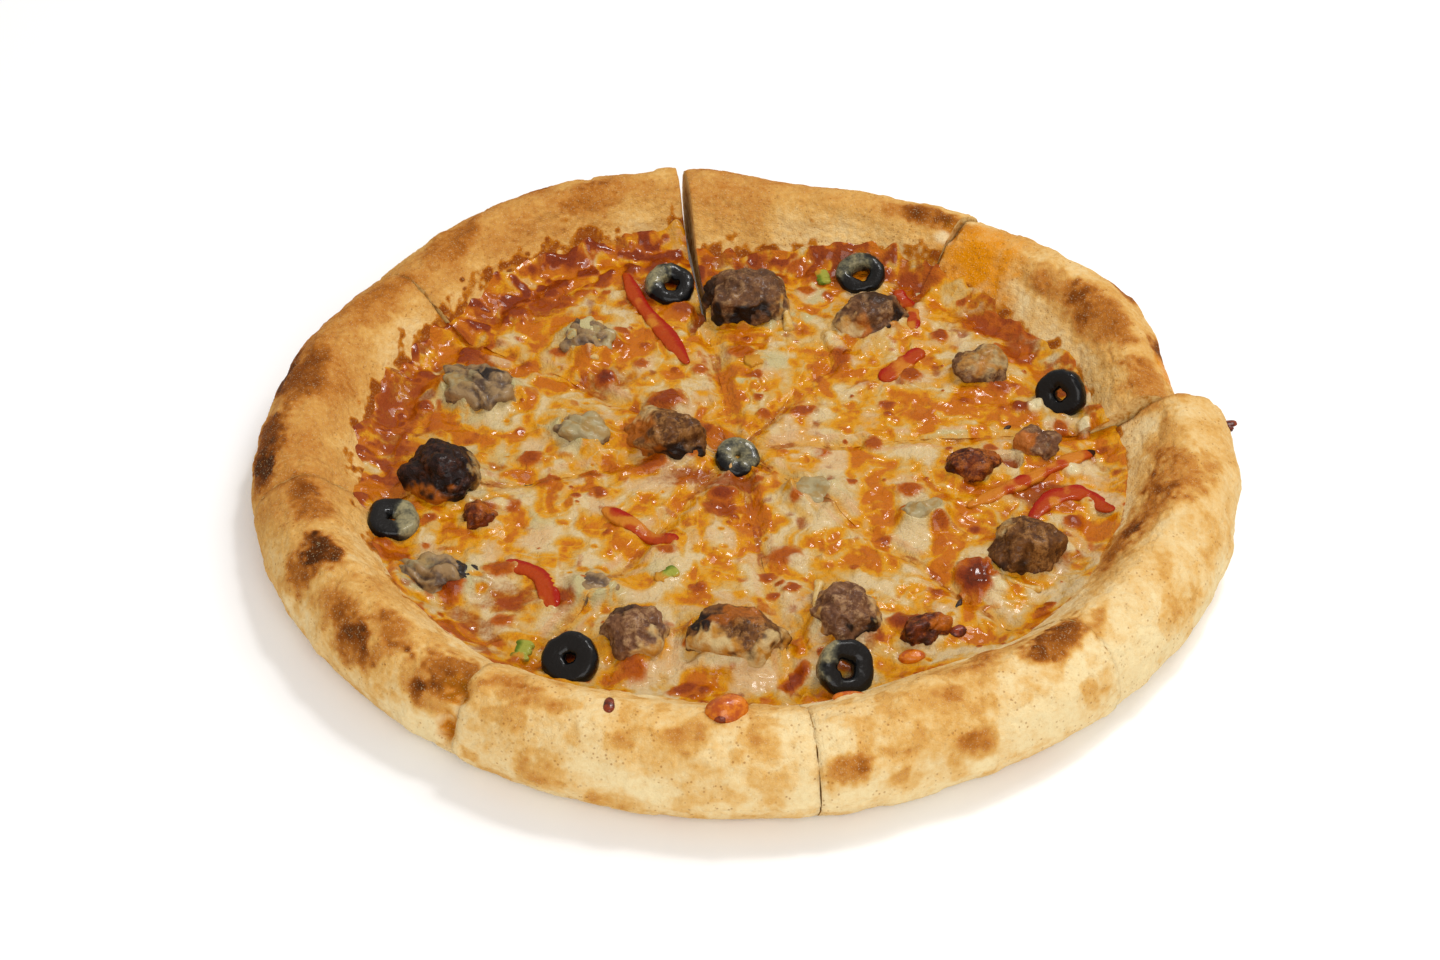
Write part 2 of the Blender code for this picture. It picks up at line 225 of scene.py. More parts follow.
SLICES = (
    Slice(1, 4.4, 51.8, Rim(-0.013, 0.024, 0.024), Rim(-0.003, 0.028, 0.034), Rim(-0.005, 0.026, 0.029)),
    Slice(2, 52.2, 98.0, Rim(-0.004, 0.027, 0.027), Rim(-0.007, 0.027, 0.029), Rim(0.002, 0.028, 0.040)),
    Slice(3, 99.0, 148.3, Rim(0.003, 0.028, 0.029), Rim(0.004, 0.028, 0.028), Rim(-0.001, 0.027, 0.032)),
    Slice(4, 148.7, 192.8, Rim(-0.001, 0.027, 0.031), Rim(-0.001, 0.028, 0.031), Rim(0.0, 0.026, 0.034)),
    Slice(5, 193.2, 237.3, Rim(0.0, 0.026, 0.034), Rim(-0.001, 0.029, 0.029), Rim(0.0, 0.026, 0.028)),
    Slice(6, 237.8, 278.3, Rim(0.001, 0.029, 0.031), Rim(0.001, 0.029, 0.034), Rim(0.001, 0.027, 0.035)),
    Slice(7, 278.7, 315.3, Rim(0.001, 0.027, 0.035), Rim(-0.001, 0.029, 0.036), Rim(-0.001, 0.029, 0.032)),
    Slice(8, 315.6, 363.6, Rim(-0.001, 0.029, 0.032), Rim(-0.001, 0.028, 0.033), Rim(0.0, 0.026, 0.034)),
)


@dataclass(frozen=True)
class PizzaForm:
    """The pizza's driving sizes and the surfaces that follow from them, as its solids have them."""

    width: float = 0.296
    depth: float = 0.273
    crossing: Pair = (-0.0026, 0.0045)
    dough: float = 0.0065
    cheese: float = 0.0045
    cheese_edge: float = 0.0012
    wave: float = 0.0009
    wave_length: float = 0.024
    fade: float = 0.014
    crease: float = 0.0022
    crease_width: float = 0.004
    fit_gap: float = 0.0004
    cut_gap: float = 0.0008
    bulge: float = 0.011
    tuck: float = 0.010
    crest_inset: float = 0.005
    crest_share: float = 0.33
    foot_run: float = 0.010
    rim_wave: float = 0.0011
    rim_wave_length: float = 0.030

    def oval_run(self, bearing: Array) -> Array:
        """Distance from the crossing to the plain oval that the outline follows.

        Args:
            bearing: Bearings in degrees.

        Returns:
            A run for each bearing.
        """
        across, deep = np.cos(np.radians(bearing)), np.sin(np.radians(bearing))
        half_width, half_depth = self.width / 2, self.depth / 2
        x, y = self.crossing
        square = (across / half_width) ** 2 + (deep / half_depth) ** 2
        middle = x * across / half_width**2 + y * deep / half_depth**2
        offset = (x / half_width) ** 2 + (y / half_depth) ** 2 - 1.0
        return (-middle + np.sqrt(middle * middle - square * offset)) / square

    def rim_at(self, cut: Slice, bearing: Array) -> tuple[Array, Array, Array]:
        """The rim's section, eased from cut to middle and on to cut.

        Args:
            cut: The slice.
            bearing: Bearings in it.

        Returns:
            The rim's outer run, its height and its width.
        """
        share = 2.0 * (bearing - cut.start) / (cut.end - cut.start)
        early = share < 1.0
        blend = ease(np.where(early, share, share - 1.0))

        def eased(first: float, middle: float, last: float) -> Array:
            """One size of the rim between its three given values."""
            before, after = np.where(early, first, middle), np.where(early, middle, last)
            return before + (after - before) * blend

        out = eased(cut.first.out, cut.middle.out, cut.last.out)
        height = eased(cut.first.height, cut.middle.height, cut.last.height)
        width = eased(cut.first.width, cut.middle.width, cut.last.width)
        return self.oval_run(bearing) + out, height, width

    def edge_runs(self, cut: Slice, bearing: Array) -> tuple[Array, Array, Array]:
        """Where the rim's inner slope begins and ends.

        Args:
            cut: The slice.
            bearing: Bearings in it.

        Returns:
            Runs of the slope's foot, of the cheese's edge and of the rim's crest.
        """
        outer, _, width = self.rim_at(cut, bearing)
        cheese = outer - width
        return cheese - self.foot_run, cheese, outer - self.crest_inset - self.crest_share * width

    def dough_top(self, cut: Slice, bearing: Array, run: Array) -> Array:
        """Height of the dough's upper side.

        Args:
            cut: The slice.
            bearing: Bearings in it.
            run: Runs, out to the rim's crest.

        Returns:
            A height for each place.
        """
        foot, _, crest = self.edge_runs(cut, bearing)
        height = self.rim_at(cut, bearing)[1]
        return self.dough + (height - self.dough) * ease((run - foot) / (crest - foot))

    def from_cut(self, cut: Slice, bearing: Array, run: Array) -> Array:
        """Distance from a place to the nearer of its slice's cuts."""
        return run * np.sin(np.radians(np.minimum(bearing - cut.start, cut.end - bearing)))

    def cheese_top(self, cut: Slice, bearing: Array, run: Array) -> Array:
        """Height of the cheese, which thins to its edge, dips along the cuts and is wavy elsewhere.

        Args:
            cut: The slice.
            bearing: Bearings in it.
            run: Runs.

        Returns:
            A height for each place.
        """
        body = ease((self.edge_runs(cut, bearing)[1] - run) / self.fade)
        thickness = self.cheese_edge + (self.cheese - self.cheese_edge) * body
        turn = np.radians(bearing)
        flat = np.stack([run * np.cos(turn), run * np.sin(turn), 0.0 * run], axis=-1)
        wave = self.wave * slow_wave(flat.reshape(-1, 3), self.wave_length).reshape(run.shape)
        crease = self.crease * np.exp(-((self.from_cut(cut, bearing, run) / self.crease_width) ** 2))
        return self.dough_top(cut, bearing, run) + self.fit_gap + thickness + (wave - crease) * body

    def polar(self, x: Array, y: Array) -> tuple[Array, Array]:
        """Bearings, from 0 to 360, and runs of places."""
        across, deep = x - self.crossing[0], y - self.crossing[1]
        return np.degrees(np.arctan2(deep, across)) % 360.0, np.hypot(across, deep)

    def lying(self, x: Array, y: Array) -> Array:
        """Height of what a topping lies on.

        Args:
            x: Places to the right.
            y: Places to the back.

        Returns:
            Heights of the cheese, or of the rim's slope outside it.
        """
        x, y = np.atleast_1d(np.asarray(x, float)), np.atleast_1d(np.asarray(y, float))
        bearing, run = self.polar(x, y)
        height = np.zeros(len(x))
        for cut in SLICES:
            turned = np.where(bearing + 360.0 < cut.end, bearing + 360.0, bearing)
            after = SLICES[cut.number].start if cut.number < len(SLICES) else 360.0 + SLICES[0].start
            here = (turned >= cut.start) & (turned < after)
            if cut.number == 1:
                here = (bearing >= cut.start) & (bearing < after)
            if not here.any():
                continue
            at, out = np.minimum(turned[here], cut.end), run[here]
            on_cheese = out < self.edge_runs(cut, at)[1]
            top = self.dough_top(cut, at, out)
            height[here] = np.where(on_cheese, self.cheese_top(cut, at, out), top)
        return height

    def grid_places(self, cut: Slice, bearing: Array, run: Array, height: Array) -> Array:
        """Puts sections in their places in the pizza, with the slice moved out by the width of the cuts.

        Args:
            cut: The slice.
            bearing: Bearings, one a column.
            run: Runs, rows by columns.
            height: Heights, rows by columns.

        Returns:
            Places, rows by columns by three.
        """
        turn = np.radians(bearing)
        middle, half = radians((cut.start + cut.end) / 2), radians((cut.end - cut.start) / 2)
        shift = self.cut_gap / 2 / sin(half)
        x = self.crossing[0] + run * np.cos(turn) + shift * cos(middle)
        y = self.crossing[1] + run * np.sin(turn) + shift * sin(middle)
        return np.stack([x, y, height], axis=-1)


FORM = PizzaForm()


@dataclass(frozen=True)
class Photograph:
    """The photograph's camera, and the places on the pizza that its pixels show."""

    width: int = 1440
    height: int = 960
    lens: float = 60.0
    sensor: float = 36.0
    location: Place = (-0.0078, -0.5461, 0.4978)
    tilt: float = 47.73

    def ray(self, column: float, row: float) -> Vector:
        """The direction in which a pixel looks.

        Args:
            column: Pixels from the left edge.
            row: Pixels from the upper edge.

        Returns:
            A direction of length one.
        """
        focal = self.lens / self.sensor * self.width
        look = Vector(((column - self.width / 2) / focal, (self.height / 2 - row) / focal, -1.0))
        return (Matrix.Rotation(radians(self.tilt), 3, "X") @ look).normalized()

    def camera(self) -> bpy.types.Object:
        """Adds the camera and makes it the scene's own.

        Returns:
            The camera.
        """
        bpy.ops.object.camera_add(location=self.location, rotation=(radians(self.tilt), 0.0, 0.0))
        camera = bpy.context.object
        camera.name = "photograph_camera"
        camera.data.lens = self.lens
        camera.data.sensor_width = self.sensor
        bpy.context.scene.camera = camera
        return camera


class Carrier:
    """The solid crust and cheese, which rays from the photograph's camera meet."""

    rim_level: float = 0.018

    def __init__(self, photograph: Photograph) -> None:
        """Gathers the solids' triangles.

        Args:
            photograph: The camera that the rays come from.
        """
        self.photograph = photograph
        points: list[Vector] = []
        faces: list[list[int]] = []
        for name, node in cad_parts.items():
            if name.startswith(("crust_slice", "cheese_slice")):
                first = len(points)
                points.extend(vertex.co.copy() for vertex in node.data.vertices)
                faces.extend([first + at for at in face.vertices] for face in node.data.polygons)
        self.tree = BVHTree.FromPolygons(points, faces)

    def hit(self, column: float, row: float) -> Place:
        """The place on the pizza that a pixel shows.

        Args:
            column: Pixels from the left edge.
            row: Pixels from the upper edge.

        Returns:
            Its place, on the bare cheese or crust, or the nearest one if the pixel is just beside them.
        """
        origin = Vector(self.photograph.location)
        ray = self.photograph.ray(column, row)
        found = self.tree.ray_cast(origin, ray)[0]
        if found is None:
            level = origin + ray * ((self.rim_level - origin.z) / ray.z)
            found = self.tree.find_nearest(level)[0]
        return tuple(found)


PHOTOGRAPH = Photograph()
CARRIER = Carrier(PHOTOGRAPH)


class Look(Enum):
    """What a mark does to the surface that it lies on."""

    TOASTED = "toasted"
    OILY = "oily"
    SAUCY = "saucy"
    PINK = "pink"
    CURD = "curd"
    HERBAL = "herbal"
    CALM = "calm"


@dataclass(frozen=True)
class Mark:
    """A spot on the cheese: its look, the pixel of its middle, its half sizes in millimetres, its turn, its
    strength and its lift in millimetres."""

    look: Look
    column: float
    row: float
    long: float
    wide: float
    turn: float
    strength: float
    lift: float = 0.0

    def reach(self, points: Array, ragged: Array) -> tuple[Array, Array]:
        """How far out in the mark places are.

        Args:
            points: Places, one a row.
            ragged: How much each place is held back from the mark, which makes its outline uneven.

        Returns:
            The numbers of the places near the mark, and their distance, 1 at its outline.
        """
        half = (self.long * MM, self.wide * MM)
        middle = CARRIER.hit(self.column, self.row)[:2]
        near, out = from_oval(points, middle, half, self.turn, 1.6 * max(half))
        return near, out + ragged[near]


def marks(look: Look, *rows: tuple[float, ...]) -> tuple[Mark, ...]:
    """Makes marks of one look, each from its numbers in the order of a mark's own."""
    return tuple(Mark(look, *row) for row in rows)


@dataclass(frozen=True)
class Blotch:
    """A place on the crust: its middle's pixel, its half sizes along the rim and up it in millimetres, and
    how strong it is."""

    column: float
    row: float
    along: float
    up: float
    strength: float = 1.0


def blotches(*rows: tuple[float, ...]) -> tuple[Blotch, ...]:
    """Makes blotches, each from its numbers in the order of a blotch's own."""
    return tuple(Blotch(*row) for row in rows)


class Wire:
    """A socket of a node, so that shader maths reads as an expression."""

    def __init__(self, tree: bpy.types.NodeTree, socket: bpy.types.NodeSocket) -> None:
        """Wraps a socket.

        Args:
            tree: The tree that the socket is in.
            socket: An output that carries a number or a colour.
        """
        self.tree = tree
        self.socket = socket

    def _maths(self, operation: str, first: "Wire | float", second: "Wire | float") -> "Wire":
        """Adds a Math node.

        Args:
            operation: Its operation.
            first: Its first value.
            second: Its second value.

        Returns:
            Its result.
        """
        node = self.tree.nodes.new("ShaderNodeMath")
        node.operation = operation
        for socket, value in zip(node.inputs, (first, second)):
            if isinstance(value, Wire):
                self.tree.links.new(value.socket, socket)
            else:
                socket.default_value = value
        return Wire(self.tree, node.outputs[0])

    def __add__(self, other: "Wire | float") -> "Wire":
        """The sum."""
        return self._maths("ADD", self, other)

    __radd__ = __add__

    def __sub__(self, other: "Wire | float") -> "Wire":
        """The difference."""
        return self._maths("SUBTRACT", self, other)

    def __rsub__(self, other: "Wire | float") -> "Wire":
        """The difference, the other way round."""
        return self._maths("SUBTRACT", other, self)

    def __mul__(self, other: "Wire | float") -> "Wire":
        """The product."""
        return self._maths("MULTIPLY", self, other)

    __rmul__ = __mul__

    def above(self, edge: float, softness: float) -> "Wire":
        """Shows where the number passes an edge.

        Args:
            edge: The number in the middle of the change.
            softness: Half the width of the change.

        Returns:
            0 well under the edge, 1 well over it.
        """
        node = self.tree.nodes.new("ShaderNodeMapRange")
        node.interpolation_type = "SMOOTHSTEP"
        node.inputs["From Min"].default_value = edge - softness
        node.inputs["From Max"].default_value = edge + softness
        self.tree.links.new(self.socket, node.inputs["Value"])
        return Wire(self.tree, node.outputs["Result"])


class Bench:
    """A new material's node tree, and the nodes that every finish here is made of."""

    def __init__(self, name: str) -> None:
        """Starts a material.

        Args:
            name: The material's name.
        """
        self.material = bpy.data.materials.new(name)
        self.material.use_nodes = True
        self.tree = self.material.node_tree
        self.shader = self.tree.nodes["Principled BSDF"]

    def node(self, kind: str, settings: dict[str, object], values: dict[str, object]) -> bpy.types.Node:
        """Adds a node.

        Args:
            kind: Its type.
            settings: Its settings.
            values: The values or links of its sockets, by the sockets' names.

        Returns:
            The node.
        """
        made = self.tree.nodes.new(kind)
        for name, value in settings.items():
            setattr(made, name, value)
        for name, value in values.items():
            socket = made.inputs[name]
            if isinstance(value, Wire):
                self.tree.links.new(value.socket, socket)
            else:
                socket.default_value = value
        return made

    def painted(self, name: str) -> Wire:
        """A number that was painted on the mesh."""
        made = self.node("ShaderNodeAttribute", {"attribute_name": name}, {})
        return Wire(self.tree, made.outputs["Fac"])

    def speckle(self, size: float, detail: float = 2.0, distortion: float = 0.0) -> Wire:
        """Random lumps through space.

        Args:
            size: Distance between neighbouring lumps.
            detail: How many finer layers lie on them.
            distortion: How far they are stirred.

        Returns:
            A number from 0 to 1, mostly near the middle.
        """
        where = self.node("ShaderNodeTexCoord", {}, {})
        values = {
            "Vector": Wire(self.tree, where.outputs["Object"]),
            "Scale": 1.0 / size,
            "Detail": detail,
            "Distortion": distortion,
        }
        made = self.node("ShaderNodeTexNoise", {}, values)
        return Wire(self.tree, made.outputs["Fac"])

    def pores(self, size: float) -> Wire:
        """Points scattered through space.

        Args:
            size: Distance between neighbouring points.

        Returns:
            Distance to the nearest of them, 0 on a point.
        """
        where = self.node("ShaderNodeTexCoord", {}, {})
        values = {"Vector": Wire(self.tree, where.outputs["Object"]), "Scale": 1.0 / size}
        made = self.node("ShaderNodeTexVoronoi", {}, values)
        return Wire(self.tree, made.outputs["Distance"])

    def mix(self, share: Wire, first: Wire | str, second: Wire | str) -> Wire:
        """Goes from one colour to another.

        Args:
            share: 0 for the first, 1 for the second.
            first: A colour, or its tone in six hexadecimal digits.
            second: Another.

        Returns:
            The mixed colour.
        """
        made = self.tree.nodes.new("ShaderNodeMix")
        made.data_type = "RGBA"
        self.tree.links.new(share.socket, made.inputs[0])
        for number, colour in ((6, first), (7, second)):
            if isinstance(colour, Wire):
                self.tree.links.new(colour.socket, made.inputs[number])
            else:
                made.inputs[number].default_value = linear(colour)
        return Wire(self.tree, made.outputs[2])

    def layered(self, colour: Wire | str, *layers: tuple[Wire, float, float, Wire | str, float]) -> Wire:
        """Lays colours over one, each where a number passes an edge.

        Args:
            colour: The lowest colour.
            layers: For each other colour the number, its edge and its softness, the colour, and how much of
                it shows at most.

        Returns:
            The mixed colour.
        """
        for number, edge, softness, over, most in layers:
            shown = number.above(edge, softness)
            colour = self.mix(shown if most == 1.0 else shown * most, colour, over)
        return colour

    def bump(self, height: Wire, depth: float, strength: float = 1.0) -> Wire:
        """Turns a height into a normal.

        Args:
            height: The height, from 0 to 1.
            depth: What 1 stands for, in metres.
            strength: How much of it shows.

        Returns:
            The normal.
        """
        made = self.node("ShaderNodeBump", {}, {"Height": height, "Distance": depth, "Strength": strength})
        return Wire(self.tree, made.outputs["Normal"])

    def finish(self, links: dict[str, Wire], values: dict[str, object]) -> bpy.types.Material:
        """Feeds the shader.

        Args:
            links: What varies over the surface.
            values: What is the same all over it.

        Returns:
            The material.
        """
        for name, wire in links.items():
            self.tree.links.new(wire.socket, self.shader.inputs[name])
        for name, value in values.items():
            self.shader.inputs[name].default_value = value
        return self.material


@dataclass(frozen=True)
class BakedCrust:
    """Golden bread crust with semolina specks, from pale to charred as it is painted."""

    pale: str = "ECD6A4"
    golden: str = "DAA85A"
    toasted: str = "B46E26"
    dark: str = "80430F"
    charred: str = "452208"
    oil: str = "DC8A02"
    stain: str = "B86E12"
    crisp: str = "8E460A"
    speck: str = "94581C"
    flour: str = "ECD6A8"

    def material(self) -> bpy.types.Material:
        """Makes the material, which reads how toasted each place is, with painted light and shade in it, and
        stained, soaked and pale from the mesh.

        Returns:
            The material.
        """
        bench = Bench("baked_crust")
        broad, fine, tiny = bench.speckle(0.006, 3.0), bench.speckle(0.0016, 3.0), bench.speckle(0.0005, 2.0)
        # How baked each place looks, which carries painted light and shade as well as toasting.
        heat_and_shade = bench.painted("toasted") + (fine - 0.5) * 0.42 + (broad - 0.5) * 0.28 + (tiny - 0.5) * 0.22
        colour = bench.layered(
            self.pale,
            (heat_and_shade, 0.18, 0.32, self.golden, 1.0),
            (heat_and_shade, 0.57, 0.30, self.toasted, 1.0),
            (heat_and_shade, 0.90, 0.22, self.dark, 1.0),
            (heat_and_shade, 1.24, 0.20, self.charred, 1.0),
        )
        colour = bench.mix(bench.painted("soaked") * (0.6 + broad * 0.7), colour, self.oil)
        stained = bench.painted("stained") + (fine - 0.5) * 0.5
        colour = bench.layered(
            colour, (stained, 0.35, 0.3, self.stain, 1.0), (stained, 0.85, 0.2, self.crisp, 1.0)
        )
        dusted = (0.26 - bench.pores(0.0016)).above(0.06, 0.07) * broad.above(0.52, 0.12)
        colour = bench.mix(dusted * 0.6, colour, self.speck)
        colour = bench.layered(colour, (tiny - 0.5, 0.13, 0.05, self.flour, 0.26))
        colour = bench.mix(bench.painted("pale") * (0.5 + fine * 0.6), colour, self.flour)
        normal = bench.bump(fine * 0.7 + tiny * 0.5 + broad * 0.6, 0.0010, 0.7)
        rough = 0.82 - bench.painted("soaked") * 0.45 - bench.painted("stained") * 0.35
        links = {"Base Color": colour, "Roughness": rough, "Normal": normal}
        return bench.finish(links, {"Specular IOR Level": 0.06})


@dataclass(frozen=True)
class BreadCrumb:
    """Pale torn bread that shows where the rim is cut."""

    light: str = "E2C07C"
    deep: str = "B9802F"

    def material(self) -> bpy.types.Material:
        """Makes the material.

        Returns:
            The material.
        """
        bench = Bench("bread_crumb")
        broad, fine = bench.speckle(0.0035, 4.0, 0.5), bench.speckle(0.0009, 3.0)
        colour = bench.mix((broad + (fine - 0.5) * 0.5).above(0.54, 0.16), self.light, self.deep)
        normal = bench.bump(broad + fine * 0.4, 0.0010, 0.6)
        constants = {"Roughness": 0.85, "Specular IOR Level": 0.12}
        return bench.finish({"Base Color": colour, "Normal": normal}, constants)


@dataclass(frozen=True)
class MeltedCheese:
    """Cheese with oil, sauce and browned domes, as they are painted on the mesh, with painted shade on its
    left, along its cuts and in the olive holes.
    """

    cream: str = "D0B688"
    butter: str = "C89E56"
    gold: str = "D08C06"
    amber: str = "BA6402"
    blush: str = "CB9A68"
    curd: str = "D6C69A"
    herbal: str = "B8AC7C"
    sauce: str = "8C3602"
    rust: str = "AC5402"
    browned: str = "802E02"
    burnt: str = "451704"

    def material(self) -> bpy.types.Material:
        """Makes the material, which reads one number for each look from the mesh.

        Returns:
            The material.
        """
        bench = Bench("melted_cheese")
        broad, fine, tiny = bench.speckle(0.005, 3.0), bench.speckle(0.0015, 3.0, 0.5), bench.speckle(0.0006)
        fray = (fine - 0.5) * 0.42 + (tiny - 0.5) * 0.24
        oily = bench.painted("oily") + fray + (broad - 0.5) * 0.25
        # The herbal, saucy and toasted numbers also carry painted shade: on the left of the cheese, along the
        # cuts and in the holes of the olive slices.
        pink, herbal, curd = (bench.painted(name) + fray for name in ("pink", "herbal", "curd"))
        saucy, toasted = bench.painted("saucy") + fray, bench.painted("toasted") + fray * 0.8
        colour = bench.layered(
            self.cream,
            (oily, 0.14, 0.24, self.butter, 1.0),
            (pink, 0.55, 0.40, self.blush, 0.7),
            (herbal, 0.50, 0.45, self.herbal, 0.9),
            (oily, 0.50, 0.22, self.gold, 1.0),
            (oily, 0.86, 0.22, self.amber, 1.0),
            (saucy, 0.55, 0.32, self.sauce, 0.9),
            (toasted, 0.36, 0.30, self.rust, 1.0),
            (toasted, 0.80, 0.26, self.browned, 1.0),
            (toasted, 1.16, 0.20, self.burnt, 1.0),
            (curd, 0.60, 0.40, self.curd, 0.9),
        )
        wet = (oily + toasted * 0.7 + saucy * 0.5).above(0.6, 0.4)
        normal = bench.bump(fine * 0.9 + tiny * 0.4 + broad * 0.6, 0.0011, 0.75)
        links = {
            "Base Color": colour,
            "Roughness": 0.44 - wet * 0.10,
            "Coat Weight": 0.18 + wet * 0.26,
            "Normal": normal,
        }
        constants = {
            "Coat Roughness": 0.12,
            "Specular IOR Level": 0.03,
            "Subsurface Weight": 0.06,
            "Subsurface Radius": (0.0022, 0.0014, 0.0005),
            "Subsurface Scale": 1.0,
        }
        return bench.finish(links, constants)


@dataclass(frozen=True)
class BrownedMeat:
    """Minced meat browned in the oven, with char, fat and cheese as they are painted."""

    name: str
    flesh: str
    light: str
    shade: str
    char: str = "1E110B"
    gold: str = "B47A28"
    film: str = "CBAE78"
    oil: str = "B8620E"
    roughness: float = 0.5

    def material(self) -> bpy.types.Material:
        """Makes the material, which reads charred, filmed and oily from the mesh.

        Returns:
            The material.
        """
        bench = Bench(self.name)
        broad, fine, tiny = bench.speckle(0.0042, 3.0, 0.5), bench.speckle(0.0015, 3.0), bench.speckle(0.0005)
        grains = fine * 0.6 + tiny * 0.4 + bench.painted("raised") * 0.18
        fray = (fine - 0.5) * 0.6
        charred, oily, filmed = (bench.painted(name) + fray for name in ("charred", "oily", "filmed"))
        film = bench.mix(broad.above(0.5, 0.14), self.film, self.gold)
        colour = bench.layered(
            self.shade,
            (broad * 0.6 + fine * 0.4, 0.50, 0.13, self.flesh, 1.0),
            (grains, 0.60, 0.13, self.light, 0.85),
            (charred, 0.50, 0.34, self.char, 1.0),
            (oily, 0.55, 0.50, self.oil, 0.75),
            (filmed, 0.55, 0.36, film, 0.9),
        )
        normal = bench.bump(fine * 0.8 + tiny * 0.4, 0.0009, 0.7)
        links = {"Base Color": colour, "Roughness": self.roughness + (fine - 0.5) * 0.3, "Normal": normal}
        constants = {"Specular IOR Level": 0.10, "Coat Weight": 0.14, "Coat Roughness": 0.2}
        return bench.finish(links, constants)


@dataclass(frozen=True)
class BlackOlive:
    """Glossy olive skin and its duller cut faces."""

    skin: str = "08080A"
    flesh: str = "130F0C"
    sheen: str = "14171A"
    film: str = "A0946C"
    thin_film: str = "4C4A3C"

    def material(self) -> bpy.types.Material:
        """Makes the material, which reads filmed and cut_face from the mesh.

        Returns:
            The material.
        """
        bench = Bench("black_olive")
        broad, fine = bench.speckle(0.003, 2.0), bench.speckle(0.0007, 2.0)
        colour = bench.mix(broad.above(0.56, 0.1) * 0.5, self.skin, self.sheen)
        colour = bench.mix(bench.painted("cut_face"), colour, self.flesh)
        covered = bench.painted("filmed") + (fine - 0.5) * 0.5 + (broad - 0.5) * 0.9
        colour = bench.mix(covered.above(0.42, 0.3) * 0.8, colour, self.thin_film)
        covered = covered.above(0.78, 0.3) * 0.85
        colour = bench.mix(covered, colour, self.film)
        rough = 0.2 + bench.painted("cut_face") * 0.2 + covered * 0.2
        normal = bench.bump(fine + broad * 0.6, 0.0004, 0.5)
        links = {"Base Color": colour, "Roughness": rough, "Normal": normal}
        return bench.finish(links, {"Specular IOR Level": 0.1, "Coat Weight": 0.24, "Coat Roughness": 0.12})


@dataclass(frozen=True)
class SoftPepper:
    """Roasted pepper: wet flesh under a taut skin, with cheese and burnt tips as they are painted."""

    name: str
    flesh: str
    skin: str
    tip: str = "2A1009"
    film: str = "C67C20"

    def material(self) -> bpy.types.Material:
        """Makes the material, which reads skin, filmed and charred from the mesh.

        Returns:
            The material.
        """
        bench = Bench(self.name)
        broad, fine = bench.speckle(0.004, 2.0, 0.4), bench.speckle(0.001, 3.0)
        skin = bench.painted("skin") + (broad - 0.5) * 1.2 + (fine - 0.5) * 0.4
        fray = (fine - 0.5) * 0.6
        filmed, charred = (bench.painted(name) + fray for name in ("filmed", "charred"))
        colour = bench.layered(
            self.flesh,
            (skin, 0.5, 0.40, self.skin, 1.0),
            (filmed, 0.5, 0.40, self.film, 0.8),
            (charred, 0.5, 0.15, self.tip, 1.0),
        )
        normal = bench.bump(fine * 0.7 + broad, 0.0009, 0.7)
        links = {"Base Color": colour, "Normal": normal}
        constants = {"Roughness": 0.4, "Specular IOR Level": 0.06, "Coat Weight": 0.18, "Coat Roughness": 0.1}
        return bench.finish(links, constants)


@dataclass(frozen=True)
class CookedMushroom:
    """Grey-brown mushroom, darker at its gills and in the valleys of its folds, where the shade is painted,
    and pale under a film of cheese.
    """

    flesh: str = "93754E"
    shade: str = "554030"
    film: str = "AA9A70"
    gold: str = "9E7E44"
    gills: str = "261B14"

    def material(self) -> bpy.types.Material:
        """Makes the material, which reads filmed and charred from the mesh.

        Returns:
            The material.
        """
        bench = Bench("cooked_mushroom")
        broad, fine = bench.speckle(0.0035, 3.0, 0.6), bench.speckle(0.0012, 3.0)
        # Painted shade: the flesh tone shows on the folds' ridges and the shade tone in their valleys, over a
        # random tone.
        tone_and_fold_shade = bench.painted("raised") * 0.13 + broad + (fine - 0.5) * 0.4
        fray = (fine - 0.5) * 0.6
        filmed, charred = (bench.painted(name) + fray for name in ("filmed", "charred"))
        film = bench.mix(broad.above(0.52, 0.12), self.film, self.gold)
        colour = bench.layered(
            self.shade,
            (tone_and_fold_shade, 0.48, 0.20, self.flesh, 1.0),
            (filmed, 0.50, 0.40, film, 0.85),
            (charred, 0.50, 0.18, self.gills, 1.0),
        )
        normal = bench.bump(fine * 0.7 + broad * 0.6, 0.0007, 0.6)
        links = {"Base Color": colour, "Normal": normal}
        constants = {"Roughness": 0.4, "Specular IOR Level": 0.2, "Coat Weight": 0.2, "Coat Roughness": 0.18}
        return bench.finish(links, constants)


@dataclass(frozen=True)
class PlainBits:
    """Small bits of one colour with a little variety in them."""

    name: str
    light: str
    deep: str
    roughness: float = 0.4
    coat: float = 0.0

    def material(self) -> bpy.types.Material:
        """Makes the material.

        Returns:
            The material.
        """
        bench = Bench(self.name)
        broad, fine = bench.speckle(0.003, 2.0), bench.speckle(0.0009, 3.0)
        colour = bench.mix((broad * 0.6 + fine * 0.4).above(0.5, 0.1), self.light, self.deep)
        normal = bench.bump(fine, 0.0005, 0.5)
        values = {
            "Roughness": self.roughness,
            "Specular IOR Level": 0.2,
            "Coat Weight": self.coat,
            "Coat Roughness": 0.1,
        }
        return bench.finish({"Base Color": colour, "Normal": normal}, values)


